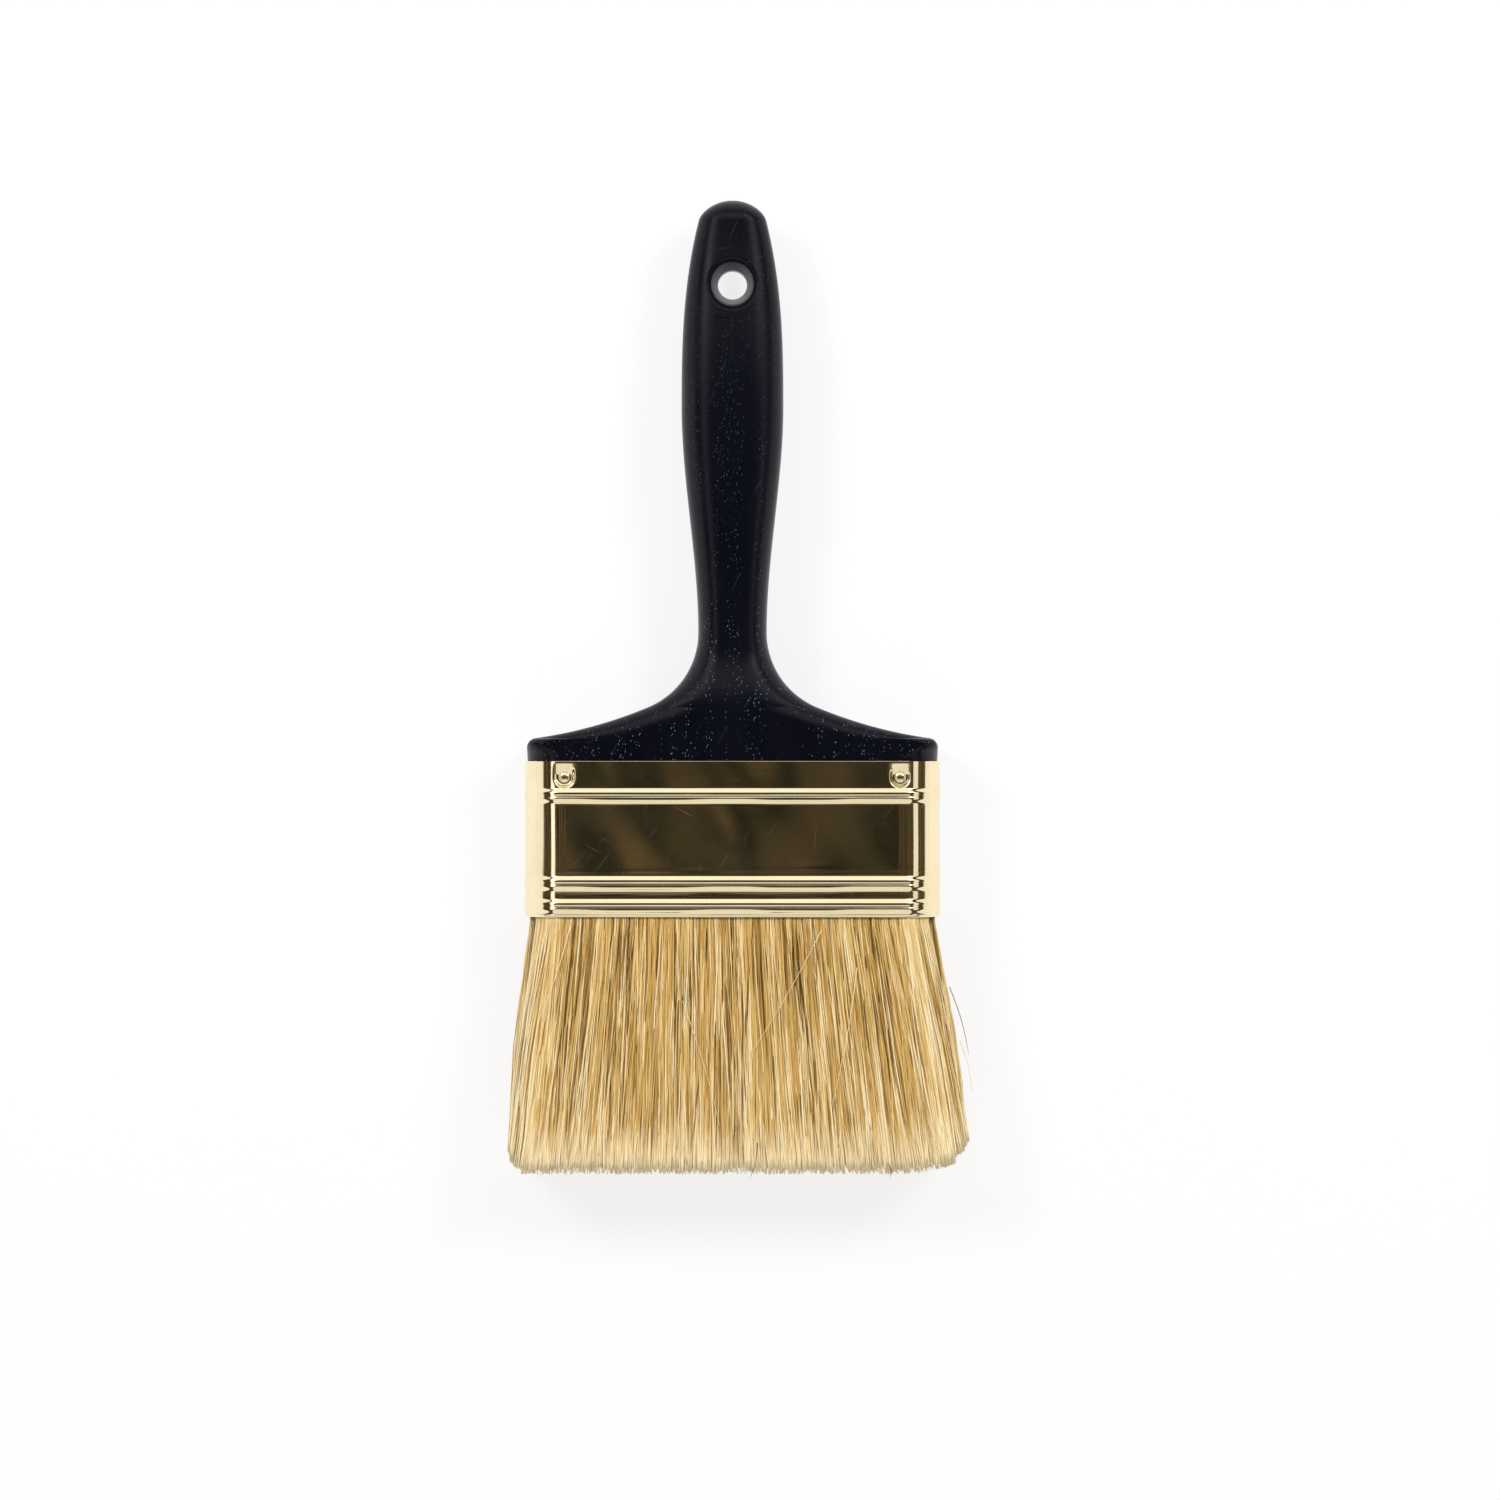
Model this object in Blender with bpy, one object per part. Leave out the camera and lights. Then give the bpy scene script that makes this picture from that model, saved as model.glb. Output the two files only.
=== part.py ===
"""Flat wall brush lying on its back, in metres.

The handle points to +Y, the bristles to -Y and the front face to +Z. The origin is under the middle
of the brush. Each piece is measured from the ferrule's mouth, and one empty places them all.
"""

import math
import random

import bmesh
import bpy

# Ferrule: a plated sleeve with three rolled beads, each a pair of ridges with a groove between them
FERRULE_WIDTH = 0.100
FERRULE_THICKNESS = 0.022
FERRULE_HEIGHT = 0.0376
FERRULE_WALL = 0.0005
FERRULE_CORNER_RADIUS = 0.0100
BEAD_HEIGHT = 0.00045
BEAD_WIDTH = 0.0040
BEAD_RIDGE_SPACING = 0.0013
BEAD_GROOVE_DEPTH = 0.0001
LOW_BEAD_RISE = 0.0026
MIDDLE_BEAD_RISE = 0.0081
TOP_BEAD_DROP = 0.0084
MOUTH_CURL = 0.0002

# Nails, and the dents that their heads sit in
NAIL_INSET = 0.0096
NAIL_DROP = 0.0039
NAIL_LENGTH = 0.0085
NAIL_SHANK_DIAMETER = 0.0015
NAIL_POINT_LENGTH = 0.0015
NAIL_HEAD_DIAMETER = 0.0029
NAIL_HEAD_HEIGHT = 0.0008
DENT_DEPTH = 0.0007
DENT_WIDTH = 0.0054

# Handle: shoulder, neck, grip and hanging hole
HANDLE_LENGTH = 0.1359
TENON_LENGTH = 0.0140
TENON_CHAMFER = 0.0010
SHOULDER_SIDE_HEIGHT = 0.0030
SHOULDER_CORNER_RADIUS = 0.0025
SHOULDER_EDGE_RADIUS = 0.0032
SHOULDER_RISE = math.radians(8.0)
SHOULDER_SWEEP_RADIUS = 0.110
SHOULDER_FLAT_HEIGHT = 0.0130
NECK_FILLET_HEIGHT = 0.0140
NECK_RADIUS = 0.0197
NECK_WIDTH = 0.0166
NECK_THICKNESS = 0.0165
GRIP_HEIGHT = 0.0860
GRIP_WIDTH = 0.0247
GRIP_THICKNESS = 0.0185
END_WIDTH = 0.0137
END_THICKNESS = 0.0130
END_ROUND = 0.0051
END_FLAT_SHARE = 0.12
END_TAPER_POWER = 2.7
ROUND_SHARE = 0.80
HANG_HOLE_FROM_END = 0.0206
HANG_WAIST_DIAMETER = 0.0071
HANG_WAIST_LENGTH = 0.0040
HANG_MOUTH_DIAMETER = 0.0110
HANG_LIP_DIAMETER = 0.0152
HANG_LIP_DEPTH = 0.0009

# Bristles: three layers, each set in its own slice of resin, with spacer plugs between them
BRISTLE_LENGTH = 0.0621
TIP_WIDTH = 0.1124
TIP_THICKNESS = 0.0250
TIP_CORNER_RADIUS = 0.0036
TIP_UNEVENNESS = 0.0016
TIP_STRAY = 0.00022
TIP_STAGGER = 0.0018
PLUG_THICKNESS = 0.0030
PLUG_RECESS = 0.0022
SLICE_LENGTH = 0.0095
SLICE_RECESS = 0.0042
STRAND_ROOT_SHARE = 0.80
STRAND_TIP_SHARE = 0.56
STRAND_EMBED = 0.0010
STRAND_COLUMNS = 72
ROWS_PER_LAYER = 2

# Clearances
FIT_GAP = 0.0003
SEAT_GAP = 0.0001

CORNER_SEGMENTS = 6
NAIL_SIDES = 12
HOLE_SIDES = 32

LAYERS = ("back", "middle", "front")

HALF_WIDTH = FERRULE_WIDTH / 2
HALF_THICKNESS = FERRULE_THICKNESS / 2
INNER_WIDTH = HALF_WIDTH - FERRULE_WALL - FIT_GAP
INNER_THICKNESS = HALF_THICKNESS - FERRULE_WALL - FIT_GAP
INNER_CORNER = FERRULE_CORNER_RADIUS - FERRULE_WALL - FIT_GAP
NAIL_X = HALF_WIDTH - NAIL_INSET
NAIL_Y = FERRULE_HEIGHT - NAIL_DROP
SHOULDER_Y = FERRULE_HEIGHT + SEAT_GAP
SLICE_TOP = SLICE_RECESS + SLICE_LENGTH
LAYER_THICKNESS = (2 * INNER_THICKNESS - 2 * PLUG_THICKNESS - 4 * FIT_GAP) / len(LAYERS)
LAYER_STEP = LAYER_THICKNESS + PLUG_THICKNESS + 2 * FIT_GAP


def clear_scene():
    for obj in list(bpy.data.objects):
        bpy.data.objects.remove(obj, do_unlink=True)


def make_material(name, colour, roughness, metallic=0.0):
    material = bpy.data.materials.new(name)
    material.use_nodes = True
    shader = material.node_tree.nodes["Principled BSDF"]
    shader.inputs["Base Color"].default_value = (*colour, 1.0)
    shader.inputs["Roughness"].default_value = roughness
    shader.inputs["Metallic"].default_value = metallic
    return material


def mix(start, end, share):
    return start + (end - start) * share


def ease(start, end, value):
    """0 before start and 1 after end, with a smooth S between them."""
    share = min(max((value - start) / (end - start), 0.0), 1.0)
    return share * share * (3.0 - 2.0 * share)


def loft(mesh, rings):
    """A closed body through rings of equal length, with flat ends."""
    loops = [[mesh.verts.new(point) for point in ring] for ring in rings]
    for lower, upper in zip(loops, loops[1:]):
        for i in range(len(lower)):
            mesh.faces.new((lower[i - 1], lower[i], upper[i], upper[i - 1]))
    mesh.faces.new(loops[0])
    mesh.faces.new(loops[-1])


def add_mesh(name, mesh, material=None):
    """An object from a bmesh. One without a material is a helper that only cuts or joins."""
    data = bpy.data.meshes.new(name)
    mesh.to_mesh(data)
    mesh.free()
    obj = bpy.data.objects.new(name, data)
    bpy.context.scene.collection.objects.link(obj)
    obj.parent = ROOT
    if material is None:
        obj.hide_render = True
        obj.display_type = "WIRE"
    else:
        data.materials.append(material)
    return obj


def add_body(name, bodies, material=None):
    """One object that holds a lofted body for each list of rings."""
    mesh = bmesh.new()
    for rings in bodies:
        loft(mesh, rings)
    bmesh.ops.recalc_face_normals(mesh, faces=mesh.faces)
    return add_mesh(name, mesh, material)


def combine(target, helper, operation):
    modifier = target.modifiers.new(helper.name, "BOOLEAN")
    modifier.solver = "EXACT"
    modifier.operation = operation
    modifier.object = helper


def circle(radius, z, sides, centre=(0.0, 0.0)):
    angles = [2 * math.pi * i / sides for i in range(sides)]
    return [(centre[0] + radius * math.cos(a), centre[1] + radius * math.sin(a), z) for a in angles]


def section(y, half_width, half_thickness, round_x, round_z, extra_x=()):
    """A rounded rectangle across the brush at y, with elliptical corners.

    extra_x adds points at those places along the front and the back.
    """
    flat_x, flat_z = half_width - round_x, half_thickness - round_z
    front = []
    for i in range(CORNER_SEGMENTS + 1):
        angle = i / CORNER_SEGMENTS * math.pi / 2
        x = flat_x + round_x * math.cos(angle)
        z = flat_z + round_z * math.sin(angle)
        front += [(x, y, z), (-x, y, z)]
    for x in extra_x:
        into = max(abs(x) - flat_x, 0.0) / round_x
        front.append((x, y, flat_z + round_z * math.sqrt(1.0 - into * into)))
    front.sort(reverse=True)
    return front + [(x, y, -z) for x, _, z in reversed(front)]


def box(y_low, y_high, x_low, x_high, z_low, z_high):
    def ring(y):
        return [(x_low, y, z_low), (x_high, y, z_low), (x_high, y, z_high), (x_low, y, z_high)]

    return [ring(y_low), ring(y_high)]


def handle_outline():
    """Height above the ferrule's top, half width and its slope, at stations up the handle's side."""
    neck = NECK_WIDTH / 2
    rise = math.sin(SHOULDER_RISE)
    run = INNER_WIDTH - neck - NECK_RADIUS - SHOULDER_CORNER_RADIUS * (1 - rise)
    sweep_end = math.asin((run + SHOULDER_SWEEP_RADIUS * rise) / (SHOULDER_SWEEP_RADIUS - NECK_RADIUS))
    stations = [(0.0, INNER_WIDTH, 0.0), (SHOULDER_SIDE_HEIGHT, INNER_WIDTH, 0.0)]

    # Convex corner, from the straight side to the sweep
    turn = math.pi / 2 - SHOULDER_RISE
    for i in range(1, 5):
        angle = turn * i / 4
        height = SHOULDER_SIDE_HEIGHT + SHOULDER_CORNER_RADIUS * math.sin(angle)
        width = INNER_WIDTH - SHOULDER_CORNER_RADIUS * (1 - math.cos(angle))
        stations.append((height, width, -math.tan(angle)))

    # Shallow sweep up to the neck, then the tighter curve into it
    for radius, start, end, count in (
        (SHOULDER_SWEEP_RADIUS, SHOULDER_RISE, sweep_end, 8),
        (NECK_RADIUS, sweep_end, math.pi / 2, 9),
    ):
        height, width, _ = stations[-1]
        for i in range(1, count + 1):
            angle = mix(start, end, i / count)
            climbed = height + radius * (math.cos(start) - math.cos(angle))
            narrowed = width - radius * (math.sin(angle) - math.sin(start))
            stations.append((climbed, narrowed, -1 / math.tan(angle)))

    # Swelling grip, taper and rounded end
    neck_height = stations[-1][0]
    round_start = HANDLE_LENGTH - END_ROUND
    heights = [mix(neck_height, GRIP_HEIGHT, i / 11) for i in range(1, 12)]
    heights += [mix(GRIP_HEIGHT, round_start, i / 9) for i in range(1, 10)]
    heights += [round_start + END_ROUND * math.sin(math.radians(a)) for a in (24, 42, 57, 69, 78, 90)]
    for height in heights:
        if height <= GRIP_HEIGHT:
            width = mix(neck, GRIP_WIDTH / 2, ease(neck_height, GRIP_HEIGHT, height))
        else:
            share = (height - GRIP_HEIGHT) / (HANDLE_LENGTH - GRIP_HEIGHT)
            width = mix(GRIP_WIDTH / 2, END_WIDTH / 2, share**END_TAPER_POWER)
        stations.append((height, width * end_rounding(height), 0.0))
    return stations, neck_height


def end_rounding(height):
    """Share of the full section left at this height, down to a small flat at the very end."""
    past = max(height - (HANDLE_LENGTH - END_ROUND), 0.0) / END_ROUND
    return max(math.sqrt(max(1.0 - past * past, 0.0)), END_FLAT_SHARE)


def handle_thickness(height, neck_height):
    fillet = ease(SHOULDER_FLAT_HEIGHT, SHOULDER_FLAT_HEIGHT + NECK_FILLET_HEIGHT, height)
    half = mix(INNER_THICKNESS, NECK_THICKNESS / 2, fillet)
    half = mix(half, GRIP_THICKNESS / 2, ease(neck_height, GRIP_HEIGHT, height))
    half = mix(half, END_THICKNESS / 2, ease(GRIP_HEIGHT, HANDLE_LENGTH, height))
    return half * end_rounding(height)


def make_handle(material):
    chamfered = INNER_CORNER - TENON_CHAMFER
    rings = [
        section(
            SHOULDER_Y - TENON_LENGTH,
            INNER_WIDTH - TENON_CHAMFER,
            INNER_THICKNESS - TENON_CHAMFER,
            chamfered,
            chamfered,
        )
    ]
    tenon_y = SHOULDER_Y - TENON_LENGTH + TENON_CHAMFER
    rings.append(section(tenon_y, INNER_WIDTH, INNER_THICKNESS, INNER_CORNER, INNER_CORNER))
    stations, neck_height = handle_outline()
    sweep_start = SHOULDER_SIDE_HEIGHT + SHOULDER_CORNER_RADIUS
    for height, width, slope in stations:
        half = handle_thickness(height, neck_height)
        edge = mix(INNER_CORNER, SHOULDER_EDGE_RADIUS, ease(0.0, sweep_start, height))
        blend = ease(sweep_start, neck_height, height)
        round_x = mix(edge, ROUND_SHARE * width, blend) * math.hypot(1.0, slope)
        round_z = mix(edge, ROUND_SHARE * half, blend)
        round_x = min(round_x, ROUND_SHARE * width)
        rings.append(section(SHOULDER_Y + height, width, half, round_x, round_z))
    handle = add_body("handle", [rings], material)

    # Hanging hole: a short straight waist that flares to an eased lip on both faces
    height = HANDLE_LENGTH - HANG_HOLE_FROM_END
    face = handle_thickness(height, neck_height)
    upper = [
        (HANG_WAIST_DIAMETER / 2, HANG_WAIST_LENGTH / 2),
        (HANG_MOUTH_DIAMETER / 2, face - HANG_LIP_DEPTH),
        (HANG_LIP_DIAMETER / 2, face),
        (HANG_LIP_DIAMETER / 2 + HANG_LIP_DEPTH, face + HANG_LIP_DEPTH),
    ]
    profile = [(radius, -z) for radius, z in reversed(upper)] + upper
    centre = (0.0, SHOULDER_Y + height)
    hole = [circle(radius, z, HOLE_SIDES, centre) for radius, z in profile]
    combine(handle, add_body("cut_hang_hole", [hole]), "DIFFERENCE")

    # Room under the ferrule's dents, and bores for the nails
    room = DENT_WIDTH / 2 + FERRULE_WALL + FIT_GAP
    room_top = FERRULE_HEIGHT - FERRULE_WALL
    floor = INNER_THICKNESS - DENT_DEPTH
    bore_end = HALF_THICKNESS - DENT_DEPTH - NAIL_LENGTH
    bore = NAIL_SHANK_DIAMETER / 2 + FIT_GAP / 2
    rooms = []
    bores = []
    for x in (-NAIL_X, NAIL_X):
        for face in (-1, 1):
            low, high = sorted((face * floor, face * 2 * HALF_THICKNESS))
            rooms.append(box(NAIL_Y - room, room_top, x - room, x + room, low, high))
            ends = sorted((face * bore_end, face * HALF_THICKNESS))
            bores.append([circle(bore, z, NAIL_SIDES, (x, NAIL_Y)) for z in ends])
    combine(handle, add_body("cut_dent_rooms", rooms), "DIFFERENCE")
    combine(handle, add_body("cut_nail_bores", bores), "DIFFERENCE")
    return handle


def ferrule_offset(y):
    """How far the ferrule's skin stands out at y: the beads, and the mouth's edge turned in."""
    offset = 0.0
    for centre in (LOW_BEAD_RISE, MIDDLE_BEAD_RISE, FERRULE_HEIGHT - TOP_BEAD_DROP):
        away = abs(y - centre)
        offset += BEAD_HEIGHT * (1 - ease(BEAD_RIDGE_SPACING / 2, BEAD_WIDTH / 2, away))
        offset -= BEAD_GROOVE_DEPTH * (1 - ease(0.0, BEAD_RIDGE_SPACING / 2, away))
    curl_end = max(LOW_BEAD_RISE - BEAD_WIDTH / 2, FERRULE_WALL)
    return offset - MOUTH_CURL * (1 - ease(0.0, curl_end, y))


def dent(x, y):
    """Depth of a nail's dent: a ramp from just under the top edge, a flat seat and a short rise."""
    seat = NAIL_HEAD_DIAMETER / 2
    across = 1 - ease(seat, DENT_WIDTH / 2, abs(abs(x) - NAIL_X))
    ramp_start = FERRULE_HEIGHT - FERRULE_WALL
    ramp = min(max((ramp_start - y) / (ramp_start - NAIL_Y - seat), 0.0), 1.0)
    below = 1 - ease(seat, DENT_WIDTH / 2, NAIL_Y - y)
    return DENT_DEPTH * across * ramp * below


def make_ferrule(material):
    seat = NAIL_HEAD_DIAMETER / 2
    reach = DENT_WIDTH / 2
    ridge = BEAD_RIDGE_SPACING / 2
    foot = BEAD_WIDTH / 2
    rows = {0.0, FERRULE_HEIGHT - FERRULE_WALL, FERRULE_HEIGHT}
    for centre in (LOW_BEAD_RISE, MIDDLE_BEAD_RISE, FERRULE_HEIGHT - TOP_BEAD_DROP):
        for away in (0.0, ridge, (ridge + foot) / 2, foot):
            rows.update((centre - away, centre + away))
    rows.update(NAIL_Y + step for step in (-reach, -(reach + seat) / 2, -seat, seat))
    steps = (-reach, -(reach + seat) / 2, -seat, seat, (reach + seat) / 2, reach)
    columns = [side * NAIL_X + step for side in (-1, 1) for step in steps]

    # The skin goes up the outside, over the top edge and down the inside to the mouth
    mesh = bmesh.new()
    loops = []
    skin = [(y, 0.0) for y in sorted(rows)]
    skin += [(y, FERRULE_WALL) for y in sorted(rows, reverse=True)]
    for y, inset in skin:
        out = ferrule_offset(y) - inset
        corner = FERRULE_CORNER_RADIUS + out
        ring = section(y, HALF_WIDTH + out, HALF_THICKNESS + out, corner, corner, columns)
        loop = []
        for x, _, z in ring:
            z -= math.copysign(dent(x, y), z)
            loop.append(mesh.verts.new((x, y, z)))
        loops.append(loop)
    for lower, upper in zip(loops, loops[1:] + loops[:1]):
        for i in range(len(lower)):
            mesh.faces.new((lower[i - 1], lower[i], upper[i], upper[i - 1]))
    bmesh.ops.recalc_face_normals(mesh, faces=mesh.faces)
    ferrule = add_mesh("ferrule", mesh, material)

    hole = NAIL_SHANK_DIAMETER / 2 + FIT_GAP / 2
    low = HALF_THICKNESS - DENT_DEPTH - 2 * FERRULE_WALL
    holes = []
    for x in (-NAIL_X, NAIL_X):
        for face in (-1, 1):
            ends = sorted((face * low, face * 2 * HALF_THICKNESS))
            holes.append([circle(hole, z, NAIL_SIDES, (x, NAIL_Y)) for z in ends])
    combine(ferrule, add_body("cut_nail_holes", holes), "DIFFERENCE")
    return ferrule


def make_nails(material):
    """Four domed nails that share one shape: the head's underside is at the object's own origin."""
    shank = NAIL_SHANK_DIAMETER / 2
    head = NAIL_HEAD_DIAMETER / 2
    profile = [
        (0.15 * shank, -NAIL_LENGTH + FIT_GAP),
        (shank, -NAIL_LENGTH + NAIL_POINT_LENGTH),
        (shank, 0.0),
        (head, 0.0),
        (head, 0.3 * NAIL_HEAD_HEIGHT),
        (0.85 * head, 0.7 * NAIL_HEAD_HEIGHT),
        (0.45 * head, NAIL_HEAD_HEIGHT),
    ]
    rings = [circle(radius, z, NAIL_SIDES) for radius, z in profile]
    seat = HALF_THICKNESS - DENT_DEPTH + SEAT_GAP
    for face, side_z in (("front", 1), ("back", -1)):
        for side, side_x in (("left", -1), ("right", 1)):
            nail = add_body(f"nail_{face}_{side}", [rings], material)
            nail.location = (side_x * NAIL_X, NAIL_Y, side_z * seat)
            if side_z < 0:
                nail.rotation_euler = (0.0, math.pi, 0.0)


def make_setting_block(material):
    """The resin that fills the ferrule between the handle's tenon and the bristle slices."""
    low = SLICE_TOP + FIT_GAP
    high = SHOULDER_Y - TENON_LENGTH - FIT_GAP
    size = (INNER_WIDTH, INNER_THICKNESS, INNER_CORNER, INNER_CORNER)
    add_body("setting_block", [[section(y, *size) for y in (low, high)]], material)


def make_plugs(material):
    half = PLUG_THICKNESS / 2
    size = (INNER_WIDTH - INNER_CORNER, half, ROUND_SHARE * half, ROUND_SHARE * half)
    for name, side in (("spacer_plug_back", -1), ("spacer_plug_front", 1)):
        plug = add_body(name, [[section(y, *size) for y in (PLUG_RECESS, SLICE_TOP)]], material)
        plug.location = (0.0, 0.0, side * LAYER_STEP / 2)


def half_width_at(z, half_width, half_thickness, corner):
    """Half width of a rounded rectangle at height z."""
    into = min(max(abs(z) - (half_thickness - corner), 0.0), corner)
    return half_width - corner + math.sqrt(corner * corner - into * into)


def slice_ring(y, low, high):
    """Outline of one layer's slice: the ferrule's inner shape between two heights."""
    heights = [mix(low, high, i / 6) for i in range(7)]
    widths = [half_width_at(z, INNER_WIDTH, INNER_THICKNESS, INNER_CORNER) for z in heights]
    right = [(x, y, z) for x, z in zip(widths, heights)]
    left = [(-x, y, z) for x, z in zip(reversed(widths), reversed(heights))]
    return right + left


def strand(root, tip, root_size, tip_size):
    """A four-sided bristle that tapers from root to tip."""
    rings = []
    for (x, y, z), (width, depth) in ((tip, tip_size), (root, root_size)):
        low_x, high_x = x - width / 2, x + width / 2
        low_z, high_z = z - depth / 2, z + depth / 2
        rings.append([(low_x, y, low_z), (high_x, y, low_z), (high_x, y, high_z), (low_x, y, high_z)])
    return rings


def spread(rank, count, half, size):
    """Centre of one of count pieces of this size, spread evenly so that the end ones reach half."""
    return mix(-1.0, 1.0, rank / (count - 1)) * (half - size / 2)


def layer_strands(number, low, high, chance):
    """The strands of one layer: rows fan out from the slice, clear the mouth and fill the tip evenly."""
    inset = MOUTH_CURL + FIT_GAP
    root_y = SLICE_RECESS + STRAND_EMBED
    fanned = root_y / (root_y + BRISTLE_LENGTH)
    mouth = [size - MOUTH_CURL for size in (INNER_WIDTH, INNER_THICKNESS, INNER_CORNER)]
    low = max(low, inset - INNER_THICKNESS)
    high = min(high, INNER_THICKNESS - inset)
    rows = len(LAYERS) * ROWS_PER_LAYER
    root_depth = (high - low) / ROWS_PER_LAYER * STRAND_ROOT_SHARE
    tip_depth = TIP_THICKNESS / rows * STRAND_TIP_SHARE
    strands = []
    for row in range(ROWS_PER_LAYER):
        root_z = (low + high) / 2 + spread(row, ROWS_PER_LAYER, (high - low) / 2, root_depth)
        tip_half_depth = (TIP_THICKNESS - TIP_STAGGER) / 2
        tip_z = spread(number * ROWS_PER_LAYER + row, rows, tip_half_depth, tip_depth)
        outer_z = abs(root_z) + root_depth / 2
        narrowed = INNER_WIDTH - half_width_at(outer_z, INNER_WIDTH, INNER_THICKNESS, INNER_CORNER)
        tip_half = TIP_WIDTH / 2 - narrowed
        mouth_z = mix(outer_z, abs(tip_z) + (tip_depth + TIP_STAGGER) / 2, fanned)
        root_half = (half_width_at(mouth_z, *mouth) - tip_half * fanned) / (1 - fanned)
        root_width = 2 * root_half / STRAND_COLUMNS * STRAND_ROOT_SHARE
        tip_width = 2 * tip_half / STRAND_COLUMNS * STRAND_TIP_SHARE
        for column in range(STRAND_COLUMNS):
            root_x = spread(column, STRAND_COLUMNS, root_half, root_width)
            tip_x = spread(column, STRAND_COLUMNS, tip_half, tip_width)
            past = max(abs(tip_x) - (TIP_WIDTH / 2 - TIP_CORNER_RADIUS), 0.0)
            rounding = TIP_CORNER_RADIUS - math.sqrt(TIP_CORNER_RADIUS**2 - past * past)
            short = rounding + TIP_UNEVENNESS * chance.random() ** 2
            if 0 < column < STRAND_COLUMNS - 1:
                tip_x += TIP_STRAY * chance.uniform(-1.0, 1.0)
            stagger = TIP_STAGGER / 2 if (column + row) % 2 else -TIP_STAGGER / 2
            strands.append(
                strand(
                    (root_x, root_y, root_z),
                    (tip_x, short - BRISTLE_LENGTH, tip_z + stagger),
                    (root_width, root_depth),
                    (tip_width, tip_depth),
                )
            )
    return strands


def make_bristles(material):
    for number, layer in enumerate(LAYERS):
        middle = (number - 1) * LAYER_STEP
        low = middle - LAYER_THICKNESS / 2
        high = middle + LAYER_THICKNESS / 2
        rings = [slice_ring(y, low, high) for y in (SLICE_RECESS, SLICE_TOP)]
        bristles = add_body(f"bristles_{layer}", [rings], material)
        chance = random.Random(number)
        strands = add_body(f"strands_{layer}", layer_strands(number, low, high, chance))
        combine(bristles, strands, "UNION")


clear_scene()
ROOT = bpy.data.objects.new("brush", None)
bpy.context.scene.collection.objects.link(ROOT)
ROOT.location = (
    0.0,
    (BRISTLE_LENGTH - SHOULDER_Y - HANDLE_LENGTH) / 2,
    max(TIP_THICKNESS / 2, HALF_THICKNESS + BEAD_HEIGHT),
)
make_handle(make_material("black_lacquer", (0.012, 0.012, 0.015), 0.22))
plating = make_material("brass_plating", (0.80, 0.66, 0.36), 0.12, 1.0)
make_ferrule(plating)
make_nails(plating)
make_setting_block(make_material("setting_resin", (0.55, 0.42, 0.22), 0.45))
make_plugs(make_material("plug_wood", (0.62, 0.47, 0.30), 0.65))
make_bristles(make_material("bristle", (0.62, 0.42, 0.18), 0.55))
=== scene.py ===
"""Looks of a flat wall brush that lies on its back on a pale floor.

Lengths are in metres. Each piece is modelled in the brush's own frame: y is 0 at the ferrule's mouth
and grows towards the handle's end, z is 0 on the middle plane, and the front face looks to +z.
"""

import math

import bmesh
import bpy
import numpy as np
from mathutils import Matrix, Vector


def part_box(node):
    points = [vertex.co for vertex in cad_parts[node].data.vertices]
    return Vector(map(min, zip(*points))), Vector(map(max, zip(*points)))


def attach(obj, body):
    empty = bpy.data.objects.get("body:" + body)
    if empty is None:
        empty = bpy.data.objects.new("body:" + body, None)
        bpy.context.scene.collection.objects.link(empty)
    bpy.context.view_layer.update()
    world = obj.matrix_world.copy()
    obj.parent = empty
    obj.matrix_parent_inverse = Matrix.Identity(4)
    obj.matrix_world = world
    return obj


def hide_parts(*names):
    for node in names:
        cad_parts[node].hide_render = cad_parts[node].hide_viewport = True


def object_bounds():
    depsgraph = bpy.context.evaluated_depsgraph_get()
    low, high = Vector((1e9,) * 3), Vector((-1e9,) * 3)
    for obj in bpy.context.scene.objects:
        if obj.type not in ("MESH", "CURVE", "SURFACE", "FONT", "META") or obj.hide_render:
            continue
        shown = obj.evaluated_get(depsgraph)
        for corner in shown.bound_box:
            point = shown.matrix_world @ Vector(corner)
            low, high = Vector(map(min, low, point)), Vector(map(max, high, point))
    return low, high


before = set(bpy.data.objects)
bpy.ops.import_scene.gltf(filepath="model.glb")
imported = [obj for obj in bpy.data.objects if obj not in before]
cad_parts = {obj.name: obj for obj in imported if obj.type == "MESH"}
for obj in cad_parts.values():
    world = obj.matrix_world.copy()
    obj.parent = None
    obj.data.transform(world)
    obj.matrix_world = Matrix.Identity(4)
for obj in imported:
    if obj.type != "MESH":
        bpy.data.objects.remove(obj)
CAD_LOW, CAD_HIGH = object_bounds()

# Places taken from the frame
FERRULE_LOW, FERRULE_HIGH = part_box("ferrule")
_, HANDLE_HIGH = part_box("handle")
MOUTH_Y = FERRULE_LOW.y
MIDDLE_Z = (FERRULE_LOW.z + FERRULE_HIGH.z) / 2
FERRULE_HEIGHT = FERRULE_HIGH.y - FERRULE_LOW.y
HANDLE_END = HANDLE_HIGH.y - MOUTH_Y
BRISTLE_LENGTH = MOUTH_Y - CAD_LOW.y

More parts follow.
